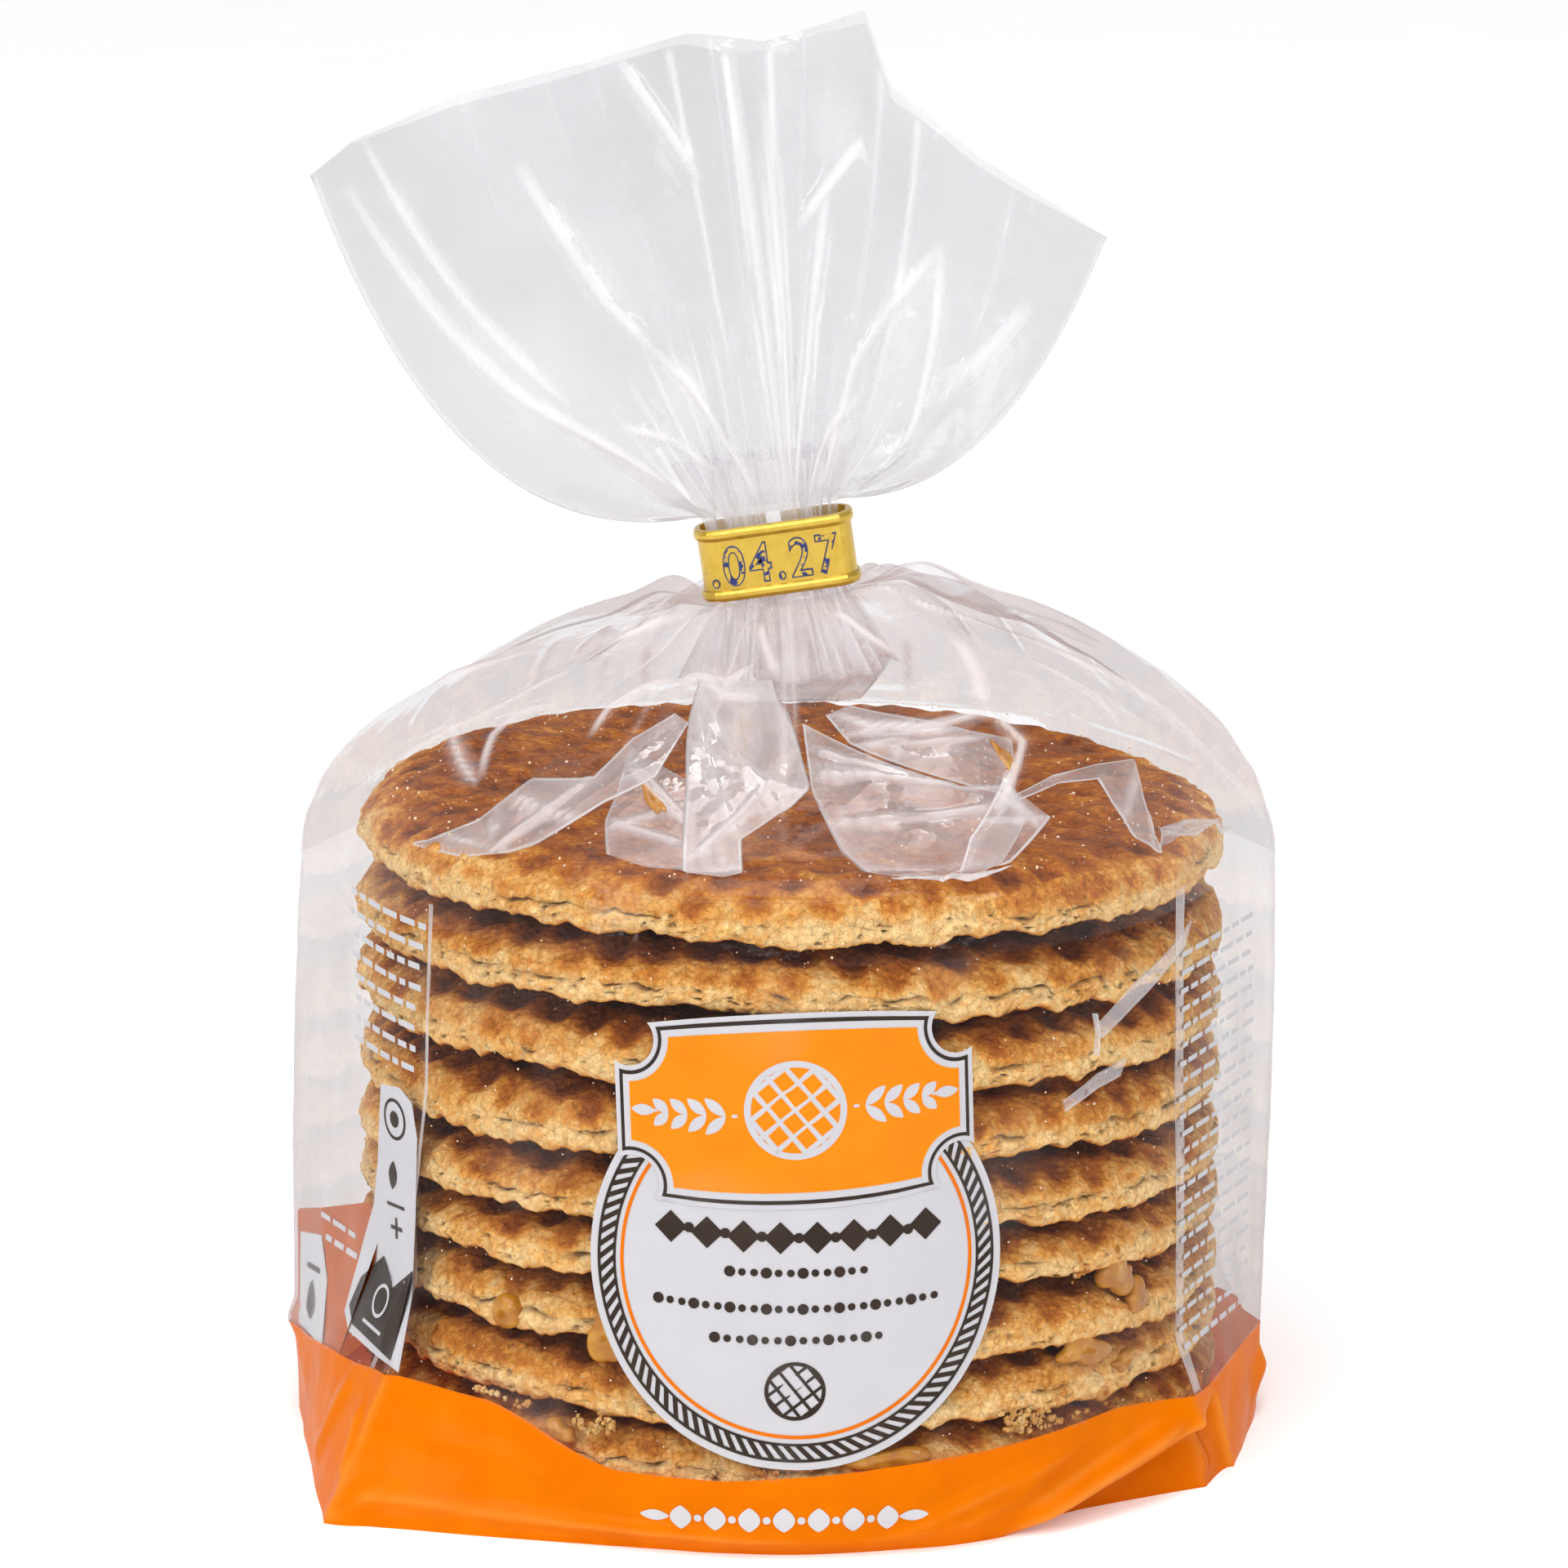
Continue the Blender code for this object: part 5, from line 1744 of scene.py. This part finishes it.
def grains_piece(name, grains, material, masks=None):
    """Many grains joined into one piece."""
    rows, columns = grains[0].shape[:2]
    ring_faces = grid_faces(rows, columns)
    faces = np.concatenate([ring_faces + rows * columns * number for number in range(len(grains))])
    points = np.concatenate([one.reshape(-1, 3) for one in grains])
    given = {key: np.full(len(points), value) for key, value in (masks or {}).items()}
    return wear_bag(mesh_piece(name, points, [faces[:, ::-1]], material, given))


def build_crumbs():
    """Crumbs in heaps by the lower gaps."""
    rng = np.random.default_rng(402)
    grains = []
    for (arc, height), spread, count in CRUMB_HEAPS:
        for _ in range(count):
            place_arc = arc + spread * rng.normal() * 0.6
            place_z = height + spread * rng.normal() * 0.4 + 1.0
            place_z = max(place_z, float(band_edge(heading_of(place_arc))) / MM + 0.5)
            size = (0.14 + 0.42 * rng.uniform() ** 1.6) * MM
            middle = on_wall(heading_of(place_arc), place_z * MM, 0.55 * MM + size)
            grains.append(grain(middle, size, rng, 0.5))
    grains_piece("crumbs", grains, WAFER_CRUST, {"bake": 0.22, "pit_shade": 0.0})


def build_specks():
    """Tiny pale grains on the wafers' tops and in the gaps: sugar, and painted glints of syrup."""
    rng = np.random.default_rng(403)
    grains = []
    for _ in range(700):
        arc = rng.uniform(-58.0, 58.0)
        height = rng.uniform(9.5, 66.0)
        middle = on_wall(heading_of(arc), height * MM, rng.uniform(0.4, 1.6) * MM)
        grains.append(grain(middle, (0.06 + 0.09 * rng.uniform() ** 2) * MM, rng, 0.1, 4, 5))
    for _ in range(760):
        radius = WAFER_RADIUS * math.sqrt(rng.uniform(0.0, 0.93))
        heading = rng.uniform(0.0, 2.0 * math.pi)
        x, y = STACK_MIDDLE + radius * math.cos(heading), radius * math.sin(heading)
        height = top_height(x)
        grains.append(grain((x, y, height), (0.08 + 0.15 * rng.uniform() ** 2.0) * MM, rng, 0.2, 4, 5))
    grains_piece("sugar_specks", grains, SUGAR_AND_GLINT)


def top_height(x):
    """Height of the top wafer's upper face."""
    level, lean, curl, thick = WAFERS[0][:4]
    return (level + thick - 0.15) * MM + lean * x + curl * MM * (x / WAFER_RADIUS) ** 2


def sugar_material():
    """Grains of sugar and fat: nearly white, a little glossy; the pale colour is partly painted glint."""
    material, tree, shader = new_material("sugar")
    place = place_of(tree)
    mix = noise_of(tree, place, 0.004, 2.0)
    tint = ramp(tree, mix, [(0.35, (0.88, 0.62, 0.34)), (0.65, (0.93, 0.80, 0.62))])
    tree.links.new(tint, shader.inputs["Base Color"])
    shader.inputs["Roughness"].default_value = 0.25
    return material


SUGAR_AND_GLINT = sugar_material()
build_caramel()
build_crumbs()
build_specks()

# %% Amber smears on the flaps
SMEARS = (((-8.0, 0.565), (1.7, 0.072), 4.0), ((-1.0, 0.49), (0.9, 0.055), -16.0),
          ((40.0, 0.46), (1.0, 0.040), 6.0), ((-21.5, 0.43), (0.8, 0.045), 50.0))


def build_smears():
    """Thin films of syrup on the folded sheets, as low lenses."""
    turn = np.arange(36)[None, :] * 2.0 * math.pi / 36
    share = np.linspace(0.0, 1.0, 9)[:, None]
    points, faces, count = [], [], 0
    for (degrees, amount), (wide, tall), lean in SMEARS:
        reach = np.sin(math.pi * share) ** 0.5
        ragged = 1.0 + 0.16 * np.sin(3.0 * turn + degrees) + 0.10 * np.sin(5.0 * turn)
        off_x = wide * reach * ragged * np.cos(turn)
        off_z = tall * AMOUNT_SPAN * reach * ragged * np.sin(turn)
        slant = math.radians(lean)
        across = off_x * math.cos(slant) - off_z * math.sin(slant)
        up = off_x * math.sin(slant) + off_z * math.cos(slant)
        depth = (1.7 + 0.3 * share + 0.0 * turn) * MM
        grid = under_dome(degrees + across / DEGREE_SPAN, amount + up / AMOUNT_SPAN, depth)
        ends = np.stack([grid[0].mean(axis=0), grid[-1].mean(axis=0)])
        points.append(np.concatenate([grid.reshape(-1, 3), ends]))
        faces += [grid_faces(9, 36) + count, fan_faces(9 * 36, np.arange(36))[:, ::-1] + count,
                  fan_faces(9 * 36 + 1, np.arange(8 * 36, 9 * 36)) + count]
        count += 9 * 36 + 2
    wear_bag(mesh_piece("caramel_smears", np.concatenate(points), faces, CARAMEL))


build_smears()

# %% [markdown]
# ## Seam and pressed folds of the wall
# The bag's long seam runs up beside the right corner as a strip of double film, the left corner is pressed
# into another, and flat folds lie slantwise on the right of the wall. All are narrow strips just inside
# the film, milky because their layers add up.

# %% Strips of double film
STRIPS = {
    "seam_strip": (((50.2, 66.0), (50.3, 47.0), (51.4, 28.0), (51.6, 9.5)),
                   ((52.4, 66.0), (52.6, 47.0), (53.7, 28.0), (53.9, 9.5)), 0.16),
    "corner_strip": (((-42.0, 67.0), (-43.4, 46.0), (-46.3, 30.0), (-48.6, 12.0)),
                     ((-42.7, 67.0), (-44.0, 46.0), (-47.0, 30.0), (-49.4, 12.0)), 0.12),
    "wall_fold": (((55.0, 62.0), (49.0, 59.8), (42.0, 57.6), (36.0, 54.2)),
                  ((53.0, 59.0), (48.6, 57.6), (42.0, 55.0), (37.0, 52.6)), 0.15),
    "wall_fold_low": (((41.0, 49.8), (36.4, 49.0), (31.4, 46.8)),
                      ((40.0, 47.9), (36.4, 47.3), (31.8, 45.6)), 0.12),
    "wall_crimp": (((35.4, 55.6), (35.9, 53.4), (35.6, 51.0)),
                   ((36.3, 55.4), (36.8, 53.2), (36.6, 50.8)), 0.18),
}


def wall_route(route, count):
    """Places at even steps along a route round and up the wall."""
    route = np.array(route, dtype=float)
    reached = np.concatenate([[0.0], np.cumsum(np.hypot(*np.diff(route, axis=0).T))])
    wanted = np.linspace(0.0, reached[-1], count)
    return np.stack([np.interp(wanted, reached, route[:, axis]) for axis in (0, 1)], axis=-1)


def build_strip(name, left, right, veil_and_sheen, seed):
    """A narrow sheet just inside the wall, between two edges."""
    rows, half = 60, 9
    first, second = wall_route(left, rows)[:, None], wall_route(right, rows)[:, None]
    turn = np.concatenate([np.linspace(0.0, 1.0, half), np.linspace(1.0, 0.0, half)[1:-1]])[None, :]
    layer = np.where(np.arange(turn.size)[None, :] < half, 0.0, 1.0) * np.sin(math.pi * turn)
    place = first + (second - first) * turn[..., None]
    depth = 0.38 * MM + 0.25 * MM * layer
    points = on_wall(heading_of(place[..., 0]), np.minimum(place[..., 1] * MM, BODY_TOP + 2.0 * MM), depth)
    border = np.minimum(turn, 1.0 - turn) * np.hypot(*np.moveaxis(second - first, -1, 0))
    cloud = 0.7 + 0.6 * value_noise(points, 3.0 * MM, seed)
    # The strip's edges are made white: partly crease whitening, partly painted highlight.
    crease = 0.45 * (1.0 - ease(0.05, 0.3, border))
    film_piece(name, points, FOLD_FILM, {"crease": crease, "veil_and_sheen": veil_and_sheen * cloud})


for number, (name, (left, right, veil_and_sheen)) in enumerate(STRIPS.items()):
    build_strip(name, left, right, veil_and_sheen, 240 + number)

# %% [markdown]
# ## Gold clip and its stamped digits
# The clip is a folded band of lacquered metal with a bead along each edge. The solid already has that
# shape, so it only needs its finish. A date code is stamped on the band: raised digits whose edges took
# blue ink. They come from the built-in typeface, turned into mesh.

# %% Clip
def gold_material(name, inked):
    """Satin gold lacquer; where it is inked, patches of blue lie on it."""
    material, tree, shader = new_material(name)
    place = place_of(tree)
    brushed = noise_of(tree, place, 0.0016, 4.0, 0.6)
    colour = ramp(tree, brushed, [(0.35, (0.57, 0.365, 0.036)), (0.62, (0.65, 0.435, 0.060))])
    if inked:
        spots = noise_of(tree, place, 0.0011, 2.0)
        patches = ramp(tree, spots, [(0.50, (0.0, 0.0, 0.0)), (0.56, (1.0, 1.0, 1.0))])
        colour = mix_colour(tree, patches, colour, (0.020, 0.035, 0.16))
    tree.links.new(colour, shader.inputs["Base Color"])
    shader.inputs["Metallic"].default_value = 0.78
    shader.inputs["Coat Weight"].default_value = 0.35
    rough = ramp(tree, brushed, [(0.3, (0.26, 0.26, 0.26)), (0.7, (0.36, 0.36, 0.36))])
    tree.links.new(rough, shader.inputs["Roughness"])
    tree.links.new(bump(tree, noise_of(tree, place, 0.0008, 3.0), 0.00012, 0.5), shader.inputs["Normal"])
    return material


def ink_material():
    """Blue stamping ink that has pooled round the raised digits."""
    material, tree, shader = new_material("stamp_ink")
    tint = noise_of(tree, place_of(tree), 0.001, 3.0)
    colour = ramp(tree, tint, [(0.40, (0.014, 0.022, 0.095)), (0.62, (0.07, 0.08, 0.15))])
    tree.links.new(colour, shader.inputs["Base Color"])
    shader.inputs["Roughness"].default_value = 0.4
    return material


DIGITS = ".04.27"
TYPE_TALL = 0.73
TYPE_THICK = 0.01
DIGIT_HEIGHT = 4.4 * MM
DIGIT_SPACING = 1.16
DIGIT_SQUEEZE = 0.82
DIGIT_SHIFT = -0.45 * MM
CLIP_FLAT = 6.0 * MM
CLIP_CORNER = 2.4 * MM
CLIP_FACE = 3.3 * MM


def stamp(name, material, grow, deep, lift):
    """The digits as mesh on the front of the clip, grown by an amount."""
    curve = bpy.data.curves.new(name, "FONT")
    curve.body = DIGITS
    curve.size = 1.0
    curve.space_character = DIGIT_SPACING
    curve.align_x = "CENTER"
    curve.offset = grow
    curve.extrude = TYPE_THICK
    writer = bpy.data.objects.new(name + "_curve", curve)
    scene.collection.objects.link(writer)
    bpy.context.view_layer.update()
    mesh = bpy.data.meshes.new_from_object(writer.evaluated_get(bpy.context.evaluated_depsgraph_get()))
    bpy.data.objects.remove(writer)
    heights = [vertex.co.y for vertex in mesh.vertices]
    scale = DIGIT_HEIGHT / TYPE_TALL
    middle_height = TYPE_TALL / 2
    right = Vector((math.cos(CLIP_LEAN), 0.0, math.sin(CLIP_LEAN)))
    up = Vector((-math.sin(CLIP_LEAN), 0.0, math.cos(CLIP_LEAN)))
    out = Vector((0.0, -1.0, 0.0))
    centre = Vector(CLIP_CENTRE) + out * (CLIP_FACE + lift)
    for vertex in mesh.vertices:
        x, y, z = vertex.co
        across = x * scale * DIGIT_SQUEEZE + DIGIT_SHIFT
        past = min(max(0.0, abs(across) - CLIP_FLAT), 0.99 * CLIP_CORNER)
        drop = CLIP_CORNER - math.sqrt(CLIP_CORNER ** 2 - past ** 2)
        rise = (z / TYPE_THICK) * deep - drop
        vertex.co = centre + right * across + up * (y - middle_height) * scale + out * rise
    mesh.materials.clear()
    mesh.materials.append(material)
    piece = bpy.data.objects.new(name, mesh)
    scene.collection.objects.link(piece)
    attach(piece, "root")
    print(name, "drawn from", round(min(heights), 2), "to", round(max(heights), 2))


GOLD = gold_material("clip_gold_satin", False)
for clip_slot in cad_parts["clip"].material_slots:
    clip_slot.material = GOLD
stamp("digits_ink", ink_material(), 0.024, 0.03 * MM, 0.0)
stamp("digits_raised", gold_material("clip_gold_inked", True), -0.006, 0.09 * MM, 0.05 * MM)
